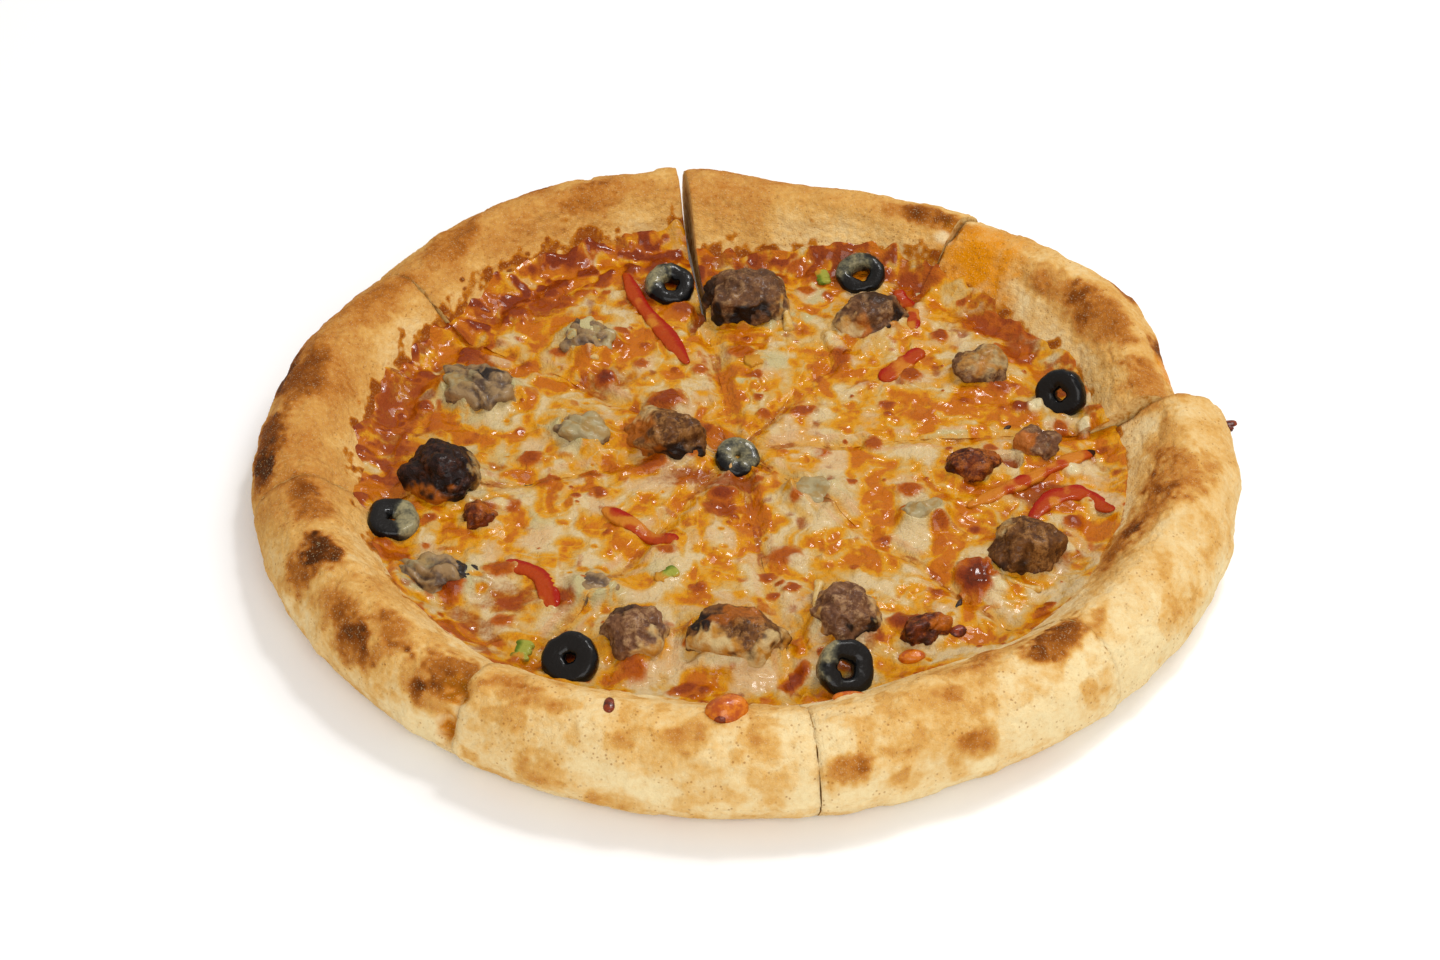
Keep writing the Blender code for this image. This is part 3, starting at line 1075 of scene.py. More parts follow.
class Piece:
    """A mesh under work, and what every finished piece gets."""

    def __init__(self, name: str) -> None:
        """Takes the object that was just added.

        Args:
            name: The piece's name.
        """
        self.obj = bpy.context.object
        self.obj.name = name
        self.mesh = self.obj.data
        self.mesh.name = name

    @classmethod
    def ball(cls, name: str, detail: int) -> "Piece":
        """Adds a round lump of radius one half to be shaped.

        Args:
            name: The piece's name.
            detail: How finely it is divided.

        Returns:
            The piece.
        """
        bpy.ops.object.select_all(action="DESELECT")
        bpy.ops.mesh.primitive_ico_sphere_add(subdivisions=detail, radius=0.5)
        return cls(name)

    @classmethod
    def ring(cls, name: str, sides: tuple[int, int], radius: float, wall: float) -> "Piece":
        """Adds a ring to be shaped.

        Args:
            name: The piece's name.
            sides: Sides round the ring and round its wall.
            radius: From the ring's middle to its wall's.
            wall: Half the wall's thickness.

        Returns:
            The piece.
        """
        bpy.ops.object.select_all(action="DESELECT")
        bpy.ops.mesh.primitive_torus_add(
            major_segments=sides[0], minor_segments=sides[1], major_radius=radius, minor_radius=wall
        )
        return cls(name)

    @classmethod
    def rolled(cls, name: str, places: Array, painted: dict[str, Array] | None = None) -> "Piece":
        """Rolls a grid into a closed body: its rows go round the section and its columns along it.

        Args:
            name: The piece's name.
            places: Rows by columns by three, without the row that closes the section.
            painted: Numbers to paint on it by name, rows by columns.

        Returns:
            The piece, with both ends filled.
        """
        closed = np.concatenate([places, places[:1]])
        rows, columns = closed.shape[:2]
        bpy.ops.object.select_all(action="DESELECT")
        bpy.ops.mesh.primitive_grid_add(x_subdivisions=columns - 1, y_subdivisions=rows - 1, size=1.0)
        made = cls(name)
        made.move(closed.reshape(-1, 3))
        for paint, values in (painted or {}).items():
            made.paint(paint, np.concatenate([values, values[:1]]).ravel())
        bpy.ops.object.mode_set(mode="EDIT")
        bpy.ops.mesh.select_all(action="SELECT")
        bpy.ops.mesh.remove_doubles(threshold=WELD)
        bpy.ops.mesh.select_all(action="DESELECT")
        bpy.ops.mesh.select_mode(type="EDGE")
        bpy.ops.mesh.select_non_manifold()
        bpy.ops.mesh.fill_holes(sides=0)
        bpy.ops.mesh.select_mode(type="VERT")
        bpy.ops.mesh.select_all(action="SELECT")
        bpy.ops.mesh.normals_make_consistent(inside=False)
        bpy.ops.object.mode_set(mode="OBJECT")
        return made

    @classmethod
    def joined(cls, name: str, pieces: list["Piece"]) -> "Piece":
        """Makes one piece of several.

        Args:
            name: Its name.
            pieces: The pieces, which it takes in.

        Returns:
            The piece.
        """
        pieces[0].pick(*pieces[1:])
        bpy.ops.object.join()
        return cls(name)

    def pick(self, *others: "Piece") -> None:
        """Selects this piece, and others with it, and makes this one active.

        Args:
            others: The others.
        """
        bpy.ops.object.select_all(action="DESELECT")
        for piece in (self, *others):
            piece.obj.select_set(True)
        bpy.context.view_layer.objects.active = self.obj

    def points(self) -> Array:
        """Reads the mesh's points.

        Returns:
            Their places, one a row.
        """
        flat = np.empty(len(self.mesh.vertices) * 3, np.float32)
        self.mesh.vertices.foreach_get("co", flat)
        return flat.reshape(-1, 3).astype(float)

    def move(self, points: Array) -> None:
        """Puts the mesh's points in new places."""
        self.mesh.vertices.foreach_set("co", points.astype(np.float32).ravel())
        self.mesh.update()

    def paint(self, name: str, values: Array) -> None:
        """Paints a number on each point for the finish to read."""
        layer = self.mesh.attributes.new(name, "FLOAT", "POINT")
        layer.data.foreach_set("value", np.asarray(values, np.float32))

    def smooth(self, sharp: float = 180.0) -> None:
        """Shades the piece smooth, apart from edges sharper than an angle in degrees."""
        self.pick()
        bpy.ops.object.shade_smooth_by_angle(angle=radians(sharp))

    def settle(self, materials: list[bpy.types.Material], slot: str, node: str | None = None) -> None:
        """Gives the finished piece its materials and its body, and hides the node that it stands for.

        Args:
            materials: Its materials, the main one first.
            slot: A material slot's name; not used.
            node: The CAD node that it replaces, if any.
        """
        self.mesh.materials.clear()
        for material in materials:
            self.mesh.materials.append(material)
        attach(self.obj, BODY)
        if node is not None:
            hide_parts(node)
        self.mesh.calc_loop_triangles()
        LOG.info("%s: %d triangles", self.obj.name, len(self.mesh.loop_triangles))


def grid_normals(places: Array) -> Array:
    """Directions that stand out from a grid of places.

    Args:
        places: Rows by columns by three.

    Returns:
        Directions of length one, of the same shape.
    """
    down, along = np.gradient(places, axis=0), np.gradient(places, axis=1)
    normal = np.cross(along, down)
    length = np.linalg.norm(normal, axis=-1, keepdims=True)
    return np.where(length > TINY, normal / np.maximum(length, TINY), UP)


def draw_together(cut: Slice, places: Array, closing: Callable[[int, Array], Array]) -> None:
    """Moves the two cut faces of a slice out towards its neighbours'.

    Args:
        cut: The slice.
        places: Rows by columns by three, the faces at the first and last columns; it is changed.
        closing: Says for the number of the slice before a cut, and for runs along it, how much of the way
            to the middle of the cut its faces move.
    """
    before, after = SLICES[cut.number - 2], SLICES[cut.number % len(SLICES)]
    for column, bearing, beyond, number, side in (
        (0, cut.start, before.end, before.number, -1.0),
        (-1, cut.end, after.start, cut.number, 1.0),
    ):
        turn = radians(bearing)
        half_turn = radians(abs((beyond - bearing + 180.0) % 360.0 - 180.0)) / 2
        edge = places[:, column, :2]
        run = np.hypot(edge[:, 0] - FORM.crossing[0], edge[:, 1] - FORM.crossing[1])
        reach = closing(number, run) * (FORM.cut_gap / 2 + half_turn * run)
        places[:, column, 0] -= side * sin(turn) * reach
        places[:, column, 1] += side * cos(turn) * reach


BLOTCHES = blotches(
    (323, 548, 9.5, 6.0, 1.00), (298, 575, 8.0, 6.0, 0.55), (350, 640, 10.0, 6.0, 0.50),
    (392, 628, 8.0, 5.0, 0.45), (450, 672, 10.0, 6.0, 0.70), (430, 700, 7.0, 5.0, 0.45),
    (412, 676, 5.0, 4.0, 0.35), (850, 770, 9.0, 4.5, 0.60), (975, 745, 6.0, 4.5, 0.35),
    (1062, 638, 13.0, 6.4, 0.85), (1000, 650, 15.0, 6.0, 0.40), (1165, 445, 12.0, 7.0, 0.28),
    (1145, 470, 9.0, 7.0, 0.20), (268, 440, 13.0, 7.0, 0.65), (262, 475, 8.0, 5.0, 0.55),
    (310, 505, 12.0, 5.0, 0.40), (925, 214, 11.0, 4.2, 0.46), (900, 210, 9.0, 3.6, 0.30),
    (960, 226, 9.0, 3.6, 0.36), (1183, 352, 7.0, 8.0, 0.84), (1180, 470, 12.0, 10.0, 0.46),
    (1150, 510, 13.0, 9.0, 0.42), (1120, 545, 15.0, 7.0, 0.56), (1100, 320, 18.0, 8.0, 0.42),
    (1150, 385, 14.0, 8.0, 0.40), (1060, 290, 14.0, 7.0, 0.35), (660, 750, 14.0, 8.0, 0.24),
    (1030, 275, 12.0, 5.0, 0.25), (600, 195, 16.0, 6.0, 0.20), (450, 240, 14.0, 7.0, 0.25),
    (380, 300, 14.0, 7.0, 0.25), (300, 380, 14.0, 8.0, 0.30), (340, 610, 14.0, 6.0, 0.30),
    (520, 690, 12.0, 4.0, 0.30), (690, 735, 7.0, 5.0, 0.25), (540, 768, 9.0, 4.0, 0.30),
    (760, 745, 5.0, 6.0, 0.25), (1100, 700, 10.0, 7.0, 0.25), (1180, 600, 8.0, 8.0, 0.15),
    (620, 800, 8.0, 4.0, 0.30), (905, 780, 6.0, 4.0, 0.25),
)
INNER_SPOTS = (
    (462, 280), (464, 289), (487, 291), (488, 298), (491, 306), (469, 312), (483, 316), (511, 293),
    (510, 271), (528, 254), (551, 270), (420, 333), (434, 326), (445, 333), (403, 355), (415, 355),
)
OIL_PATCHES = blotches((976, 266, 12.5, 12.0, 1.0), (945, 262, 7.0, 6.0, 0.5), (1198, 372, 5.0, 6.0, 0.9))
FLOUR_STREAKS = blotches((943, 238, 3.0, 2.2))
TORN_PLACES = blotches((462, 694, 5.5, 4.0), (445, 728, 3.5, 6.0), (955, 233, 1.6, 7.0))
# The first two tears are darkened inside: partly char, partly painted shade in their hollows.
CHARRED_AND_SHADED_TEARS = TORN_PLACES[:2]
# How much of the way the crust has closed across the cut after a slice, where it isn't the usual share.
CUT_CLOSING = {1: 0.4, 2: 0.0, 3: 0.6, 6: 1.0, 7: 1.3, 8: 0.3}


@dataclass
class Crust:
    """The eight slices of bread: base and rim in one."""

    form: PizzaForm = FORM
    columns: int = 170
    under_shares: tuple[float, ...] = (0.0, 0.3, 0.55, 0.75, 0.88, 0.96)
    tuck_steps: int = 20
    shoulder_steps: int = 52
    slope_steps: int = 48
    dough_shares: tuple[float, ...] = (1.0, 0.96, 0.9, 0.8, 0.66, 0.5, 0.3, 0.12, 0.0)
    lumps: float = 0.0007
    blisters: float = 0.0006
    pits: float = 0.00035
    fine_relief: float = 0.00012
    tear_depth: float = 0.0032
    inner_spot: Pair = (1.2, 1.0)
    crest_low: float = 0.012
    crest_rise: float = 0.015
    sole: float = 0.0005
    most_toasted: float = 1.35
    pinch: float = 0.0005
    pinch_width: float = 0.0009
    healed_cut: float = 315.45
    healed_width: float = 8.0
    back_blotches: int = 46
    back_share: float = 0.7
    back_bearings: Pair = (0.0, 200.0)
    side_bearings: Pair = (200.0, 360.0)
    blotch_rise: Pair = (0.004, 0.024)
    blotch_inset: Pair = (0.0, 0.010)
    blotch_reach: Pair = (0.004, 0.010)
    tongue: float = 0.0050
    small_tongue: float = 0.0022
    usual_closing: float = 0.82
    closing_change: float = 0.35
    uneven_cuts: tuple[int, ...] = (3, 4, 5, 6)
    seed: int = 11

    def section(self, cut: Slice, bearing: Array) -> tuple[Array, Array, Array]:
        """The outline of the crust at many bearings.

        Args:
            cut: The slice.
            bearing: Bearings in it.

        Returns:
            Runs, heights and how much of the baked surface's relief there is, each rows by columns.
        """
        form = self.form
        outer, height, _ = form.rim_at(cut, bearing)
        _, cheese, crest = form.edge_runs(cut, bearing)
        level = 0.0 * outer
        rows = [((outer - form.tuck) * share, level, 0.0) for share in self.under_shares]
        for turn in np.linspace(0.0, np.pi / 2, self.tuck_steps + 1):
            rise = form.bulge * (1.0 - cos(turn)) + level
            rows.append((outer - form.tuck * (1.0 - sin(turn)), rise, ease(turn / 1.2)))
        for turn in np.linspace(0.0, np.pi / 2, self.shoulder_steps + 1)[1:]:
            rise = form.bulge + (height - form.bulge) * sin(turn)
            wave = self.rim_wave(bearing, rise)
            rows.append((crest + (outer - crest + wave) * cos(turn), rise + wave * sin(turn), 1.0))
        crest_wave = self.rim_wave(bearing, height)
        for share in np.linspace(1.0, 0.0, self.slope_steps + 1)[1:]:
            run = cheese + (crest - cheese) * share
            rows.append((run, form.dough_top(cut, bearing, run) + crest_wave * share, ease(share / 0.25)))
        for share in self.dough_shares[1:]:
            rows.append((cheese * share, form.dough_top(cut, bearing, cheese * share), 0.0))
        runs, heights, relief = (np.array(column) for column in zip(*rows))
        return runs, heights, relief[:, None] + level

    def rim_wave(self, bearing: Array, height: Array) -> Array:
        """Slow unevenness of the rim.

        Args:
            bearing: Bearings.
            height: A height at each.

        Returns:
            How far the rim stands out there.
        """
        turn, form = np.radians(bearing), self.form
        places = np.stack([np.cos(turn) * form.width / 2, np.sin(turn) * form.depth / 2, height], axis=-1)
        return form.rim_wave * slow_wave(places, form.rim_wave_length)

    def toasted_places(self) -> list[tuple[Array, float, float, float]]:
        """The toasted places: those that the photograph shows and a seeded few on the far sides.

        Returns:
            For each its middle, its half sizes along the rim and up it, and its strength.
        """
        found = [
            (np.array(CARRIER.hit(spot.column, spot.row)), spot.along * MM, spot.up * MM, spot.strength)
            for spot in BLOTCHES
        ]
        draw = np.random.default_rng(self.seed)
        for _ in range(self.back_blotches):
            at_back = draw.random() < self.back_share
            bearing = draw.uniform(*(self.back_bearings if at_back else self.side_bearings))
            rise = draw.uniform(*self.blotch_rise)
            most = 0.65 if at_back else 0.25
            out = self.form.oval_run(np.array([bearing]))[0] - draw.uniform(*self.blotch_inset)
            turn = radians(bearing)
            x, y = self.form.crossing[0] + out * cos(turn), self.form.crossing[1] + out * sin(turn)
            reach = draw.uniform(*self.blotch_reach)
            found.append((np.array([x, y, rise]), reach, reach * 0.6, most * draw.uniform(0.4, 1.0)))
        return found

    def spread(self, points: Array, middle: Array, along: float, up: float, ragged: Array) -> Array:
        """How far out of a place on the rim points are, 1 at its outline.

        Args:
            points: Places, one a row.
            middle: The place.
            along: Its half size along the rim.
            up: Its half size up and down it.
            ragged: How much each point is held back.

        Returns:
            A number for each point.
        """
        gap, (x, y) = points - middle, self.form.crossing
        sideways = gap @ unit(np.array([y - middle[1], middle[0] - x, 0.0]))
        rest = np.sqrt(np.maximum((gap**2).sum(1) - sideways**2, 0.0))
        return np.hypot(sideways / along, rest / up) + ragged

    def seen(self, points: Array, spot: Blotch, ragged: Array) -> Array:
        """The same for a place that the photograph shows."""
        middle = np.array(CARRIER.hit(spot.column, spot.row))
        return self.spread(points, middle, spot.along * MM, spot.up * MM, ragged)

    def relief(self, cut: Slice, bearing: Array, run: Array, flat: Array) -> Array:
        """How far the baked surface stands out from the plain section.

        Args:
            cut: The slice.
            bearing: Bearings, one a column.
            run: Runs, rows by columns.
            flat: Plain places, one a row.

        Returns:
            Distances, rows by columns.
        """
        lumps = grain(flat, 0.014, 3) * 0.6 + grain(flat, 0.006, 4) * 0.4
        swell = above(grain(flat, 0.0075, 5), 0.35, 0.3)
        pits = above(grain(flat, 0.0021, 6), 0.45, 0.25)
        fine = grain(flat, 0.0011, 7)
        total = self.lumps * lumps + self.blisters * swell - self.pits * pits + self.fine_relief * fine
        near = self.form.from_cut(cut, bearing, run).ravel()
        parted = np.abs(bearing - self.healed_cut) > self.healed_width
        pinch = self.pinch * np.broadcast_to(parted, run.shape).ravel()
        total -= pinch * np.exp(-((near / self.pinch_width) ** 2))
        ragged = 0.25 * grain(flat, 0.003, 8)
        for tear in TORN_PLACES:
            total -= self.tear_depth * ease(1.2 - self.seen(flat, tear, ragged))
        return total.reshape(run.shape)

    def paint(self, piece: Piece) -> None:
        """Paints how baked, oily and floury a slice of crust is; how baked it looks also carries painted
        light and shade.

        Args:
            piece: The slice.
        """
        points = piece.points()
        ragged = 0.35 * grain(points, 0.0045, 21) + 0.18 * grain(points, 0.0016, 22)
        crest = ease((points[:, 2] - self.crest_low) / self.crest_rise)
        toasted = 0.30 + 0.16 * crest + 0.20 * grain(points, 0.026, 23) + 0.12 * grain(points, 0.008, 24)
        # Darker to the left and on the back crest, paler to the right and at the front: partly real toasting,
        # partly painted shade on the left and painted light on the right.
        toasted -= 0.10 * ease(points[:, 0] / 0.13) - 0.12 * ease(-points[:, 0] / 0.13)
        toasted += 0.08 * ease(points[:, 1] / 0.12) * crest - 0.20 * ease(-points[:, 1] / 0.12)
        for middle, along, up, strength in self.toasted_places():
            out = self.spread(points, middle, along, up, ragged)
            toasted += strength * ease((1.35 - out) / 0.9)
        front = ease(-points[:, 1] / 0.10) * ease((points[:, 2] - 0.003) / 0.004)
        freckles = grain(points, 0.0048, 28) + 0.3 * grain(points, 0.0022, 29)
        toasted += 0.22 * front * above(freckles, 0.30, 0.3)
        for column, row in INNER_SPOTS:
            out = self.seen(points, Blotch(column, row, *self.inner_spot), ragged * 0.6)
            toasted += 0.55 * ease((1.3 - out) / 0.6)
        # Painted shade, partly char: the hollows of the first two tears are darkened.
        for tear in CHARRED_AND_SHADED_TEARS:
            toasted += ease((1.0 - self.seen(points, tear, ragged * 0.6)) / 0.6)
        toasted = np.where(points[:, 2] < self.sole, 0.45 + 0.3 * grain(points, 0.007, 25), toasted)
        piece.paint("toasted", np.clip(toasted, 0.0, self.most_toasted))
        soaked, pale = np.zeros(len(points)), np.zeros(len(points))
        for patch in OIL_PATCHES:
            soaked = np.maximum(soaked, patch.strength * ease((1.7 - self.seen(points, patch, ragged)) / 1.2))
        for tear in TORN_PLACES:
            soaked = np.maximum(soaked, 0.55 * ease(1.3 - self.seen(points, tear, ragged)))
        for streak in FLOUR_STREAKS:
            pale = np.maximum(pale, ease((1.3 - self.seen(points, streak, ragged)) / 0.8))
        piece.paint("soaked", soaked)
        piece.paint("pale", pale)
        bearing, run = self.form.polar(points[:, 0], points[:, 1])
        piece.paint("stained", self.stain(points, bearing, run))

    def stain(self, points: Array, bearing: Array, run: Array) -> Array:
        """How much browned sauce clings to the rim just outside the cheese.

        Args:
            points: Places on the crust.
            bearing: Their bearings.
            run: Their runs.

        Returns:
            0 where the crust is clean, up to 1 at the cheese.
        """
        edge = np.zeros(len(points))
        for cut in SLICES:
            turned = np.where(bearing + 360.0 < cut.end, bearing + 360.0, bearing)
            here = (turned >= cut.start - 0.5) & (turned <= cut.end + 0.5)
            if here.any():
                edge[here] = self.form.edge_runs(cut, np.clip(turned[here], cut.start, cut.end))[1]
        back = towards(bearing, 140.0)
        tongues = self.tongue * grain(points, 0.0046, 26) + self.small_tongue * grain(points, 0.0018, 27)
        reach = 0.0002 + 0.0026 * back + tongues * (0.35 + 0.65 * back)
        return ease((edge + reach - run) / 0.0034 + 0.5) * (points[:, 2] > 0.006)

    def closing(self, number: int, run: Array) -> Array:
        """How far the crust has closed across the cut after a slice, at each run along it."""
        uneven = self.closing_change * grain(run[:, None], 0.0035, 33 + number)
        return CUT_CLOSING.get(number, self.usual_closing) + uneven * (number in self.uneven_cuts)

    def build(self) -> None:
        """Makes and dresses every slice."""
        baked, crumb = BakedCrust().material(), BreadCrumb().material()
        for cut in SLICES:
            bearing = np.linspace(cut.start, cut.end, self.columns)
            run, height, share = self.section(cut, bearing)
            plain = self.form.grid_places(cut, bearing, run, height)
            raised = self.relief(cut, bearing, run, plain.reshape(-1, 3)) * share
            places = plain + grid_normals(plain) * raised[..., None]
            draw_together(cut, places, self.closing)
            piece = Piece.rolled(f"baked_slice_{cut.number}", places)
            self.paint(piece)
            piece.smooth()
            piece.settle([baked, crumb], "baked_crust", f"crust_slice_{cut.number}")
            for face in piece.mesh.polygons:
                if len(face.vertices) > 4:
                    face.material_index = 1
                    face.use_smooth = False


MARKS = marks(
    Look.TOASTED,
    (605, 381, 3.8, 3.6, 0, 1.15, 1.1), (667, 403, 6.8, 5.2, 10, 0.95, 1.4),
    (530, 460, 4.0, 3.6, 0, 0.85, 0.8), (592, 477, 4.0, 3.0, 0, 0.85, 0.6),
    (545, 485, 3.4, 2.8, 0, 0.80, 0.6), (423, 409, 3.0, 3.0, 0, 0.95, 0.8),
    (425, 376, 3.2, 3.0, 0, 0.95, 0.8), (517, 315, 5.2, 3.6, 0, 0.95, 0.8),
    (551, 295, 4.2, 3.6, 0, 1.00, 0.9), (575, 262, 5.2, 6.2, 60, 0.90, 0.5),
    (911, 377, 4.2, 4.0, 0, 0.85, 1.1), (939, 337, 3.4, 3.0, 0, 0.90, 0.8),
    (842, 364, 3.6, 4.4, 0, 0.80, 1.2), (874, 447, 3.0, 3.0, 0, 0.80, 0.8),
    (765, 417, 2.8, 2.2, 0, 0.75, 0.4), (785, 556, 5.6, 4.6, 0, 0.72, 0.5),
    (976, 580, 5.8, 6.8, 0, 1.18, 2.2), (908, 491, 4.8, 3.4, 0, 0.80, 0.6),
    (940, 525, 3.0, 2.6, 0, 0.75, 0.3), (975, 528, 2.2, 2.0, 0, 0.95, -0.4),
    (1074, 524, 4.0, 3.2, 0, 0.90, 0.6), (741, 352, 4.8, 5.2, 40, 0.70, 0.5),
    (799, 268, 5.4, 3.8, 0, 0.70, 0.5), (806, 292, 3.4, 3.0, 0, 0.70, 0.5),
    (683, 311, 5.0, 4.4, 0, 0.85, 0.4), (724, 495, 4.6, 4.0, 0, 1.00, 0.7),
    (650, 470, 6.0, 3.0, 20, 0.85, 0.6), (632, 671, 5.4, 5.2, 70, 0.75, 0.6),
    (684, 690, 5.8, 2.2, 20, 0.90, 0.2), (452, 592, 4.4, 4.0, 0, 0.95, 0.6),
    (440, 585, 3.4, 3.0, 0, 0.80, 0.5), (500, 570, 5.0, 3.6, 0, 0.80, 0.6),
    (503, 622, 4.0, 3.4, 0, 0.75, 0.5), (483, 512, 5.2, 3.2, 0, 0.80, 0.6),
    (795, 684, 2.8, 7.0, -35, 1.00, 0.4), (905, 625, 5.0, 4.0, 0, 1.00, 0.6),
    (1035, 322, 4.0, 5.0, 0, 0.95, 0.3), (1000, 388, 4.6, 3.2, 0, 0.80, 0.4),
    (880, 278, 5.0, 3.0, 20, 1.00, 0.3), (1020, 408, 3.6, 2.6, 0, 1.00, 0.4),
    (822, 455, 3.0, 2.4, 0, 0.65, 0.4), (700, 370, 3.0, 2.6, 0, 0.70, 0.4),
    # The mark at column 575, row 658 and the three after it darken the cheese in the holes of the olive
    # slices: painted shade.
    (640, 365, 3.0, 2.6, 0, 0.75, 0.4), (560, 355, 3.4, 2.8, 0, 0.75, 0.4), (575, 658, 3.2, 3.2, 0, 1.30),
    (392, 516, 3.0, 3.0, 0, 1.35), (672, 284, 3.2, 3.2, 0, 1.30), (845, 668, 3.0, 3.0, 0, 0.70),
) + marks(
    Look.SAUCY,
    (1058, 392, 4.0, 4.0, 0, 1.00), (392, 425, 6.0, 21.0, 8, 0.85), (410, 385, 7.0, 9.0, 0, 0.70),
    (905, 300, 6.0, 15.0, -15, 1.00, -0.6), (985, 318, 15.0, 12.0, 0, 0.70), (1020, 345, 7.0, 10.0, 0, 0.90),
    (730, 482, 12.0, 5.5, 0, 0.80), (690, 477, 16.0, 5.0, 8, 0.75), (720, 505, 6.0, 6.0, 0, 0.80),
    (500, 597, 14.0, 8.0, -10, 0.60), (475, 625, 15.0, 4.0, -38, 0.70), (566, 600, 4.0, 12.0, 0, 0.60),
    # The marks at column 700, row 318 and column 1010, row 462 sink a groove and a hollow and darken them:
    # partly sauce, partly painted shade.
    (1045, 495, 13.0, 6.2, 0, 0.85), (1060, 560, 6.0, 7.0, 0, 0.60), (700, 318, 2.4, 10.0, -14, 1.00, -2.2),
    (1010, 462, 3.4, 2.6, 0, 1.00, -2.0), (870, 640, 5.0, 5.0, 0, 0.70), (530, 305, 20.0, 10.0, 25, 0.75),
    (640, 295, 10.0, 14.0, -20, 0.65), (610, 380, 11.0, 7.0, 10, 0.60),
) + marks(
    Look.OILY,
    (1000, 405, 20.0, 10.0, 0, 0.75), (1020, 475, 18.0, 7.0, 15, 0.80), (930, 430, 14.0, 9.0, 0, 0.60),
    (925, 410, 20.0, 6.0, 0, 0.55), (1000, 510, 13.0, 6.0, 0, 0.60), (950, 560, 10.0, 7.0, 0, 0.45),
    (630, 350, 16.0, 8.0, 0, 0.50), (640, 300, 10.0, 12.0, 0, 0.55), (560, 320, 16.0, 8.0, 0, 0.55),
    (880, 655, 5.0, 6.0, 0, 0.70), (425, 465, 7.0, 7.0, 0, 0.80), (735, 400, 5.0, 14.0, -10, 0.50),
) + marks(
    Look.CALM,
    (790, 330, 12.0, 11.0, 0, 0.80), (640, 585, 16.0, 8.0, 0, 0.60), (760, 680, 13.0, 9.0, 0, 0.95),
    (860, 570, 14.0, 6.0, 0, 0.35), (680, 665, 11.0, 6.0, 0, 0.90), (600, 430, 12.0, 6.0, 0, 0.60),
    (560, 410, 12.0, 6.0, 0, 0.50), (500, 500, 10.0, 6.0, 0, 0.40), (800, 690, 6.0, 6.0, 0, 0.60),
) + marks(
    Look.HERBAL,
    (790, 322, 11.0, 4.2, 30, 0.85, 0.4), (775, 360, 5.2, 6.2, 0, 0.70), (820, 305, 5.0, 8.0, 0, 0.70),
    (925, 512, 8.0, 4.2, 0, 0.55), (948, 441, 8.0, 2.4, 6, 0.80, 0.8), (520, 520, 12.0, 5.0, 0, 0.60),
    # The broad mark at column 470, row 460 is painted shade: it darkens the whole left of the cheese.
    (420, 400, 6.0, 4.0, 0, 0.60), (465, 415, 14.0, 6.0, 0, 0.60), (470, 460, 22.0, 30.0, 0, 0.42),
    (745, 385, 5.0, 4.4, 0, 0.70, 0.6), (830, 505, 8.0, 4.0, 0, 0.45), (650, 570, 10.0, 3.0, 30, 0.45),
) + marks(
    Look.CURD,
    (1072, 470, 3.2, 4.0, 0, 0.90, 1.2), (1083, 436, 2.4, 2.8, 0, 1.00, 1.8),
    (1035, 410, 2.6, 2.8, 0, 0.95, 1.2), (858, 388, 4.6, 2.0, 30, 0.60, 0.6),
    (835, 345, 3.0, 6.0, 30, 0.65, 1.6), (640, 645, 6.0, 3.0, 20, 0.70, 1.2),
    (720, 668, 9.0, 3.4, 0, 0.75, 1.2), (818, 640, 4.0, 5.0, 0, 0.65, 1.0),
    (498, 505, 5.0, 3.0, 0, 0.70, 1.0), (705, 455, 5.0, 2.0, -20, 0.60, 0.8),
    (500, 365, 6.0, 3.0, -30, 0.60, 1.0), (1068, 550, 3.4, 2.2, 0, 0.85, 0.8),
    (795, 560, 3.0, 2.2, 0, 0.70, 0.5), (1000, 588, 2.2, 4.0, 50, 0.80, 0.8),
    (596, 344, 1.8, 8.0, -12, 0.90, 1.0), (815, 455, 3.0, 2.0, 0, 0.60),
) + marks(
    Look.PINK,
    (790, 440, 12.0, 4.0, 25, 0.80), (700, 535, 10.0, 6.0, 45, 0.60), (940, 595, 7.0, 4.0, 0, 0.70),
    (705, 342, 4.0, 10.0, 0, 0.60), (880, 385, 6.0, 3.0, 0, 0.60), (1045, 545, 6.0, 6.0, 0, 0.60),
    (975, 305, 6.0, 5.0, 0, 0.70), (690, 668, 6.0, 3.0, 0, 0.60), (640, 430, 10.0, 3.0, 0, 0.50),
)


@dataclass(frozen=True)
class Footprint:
    """Where a topping stands: its middle, half sizes, turn, and how it lifts and greys the cheese."""

    x: float
    y: float
    long: float
    wide: float
    turn: float
    climb: float
    greyed: float = 0.0


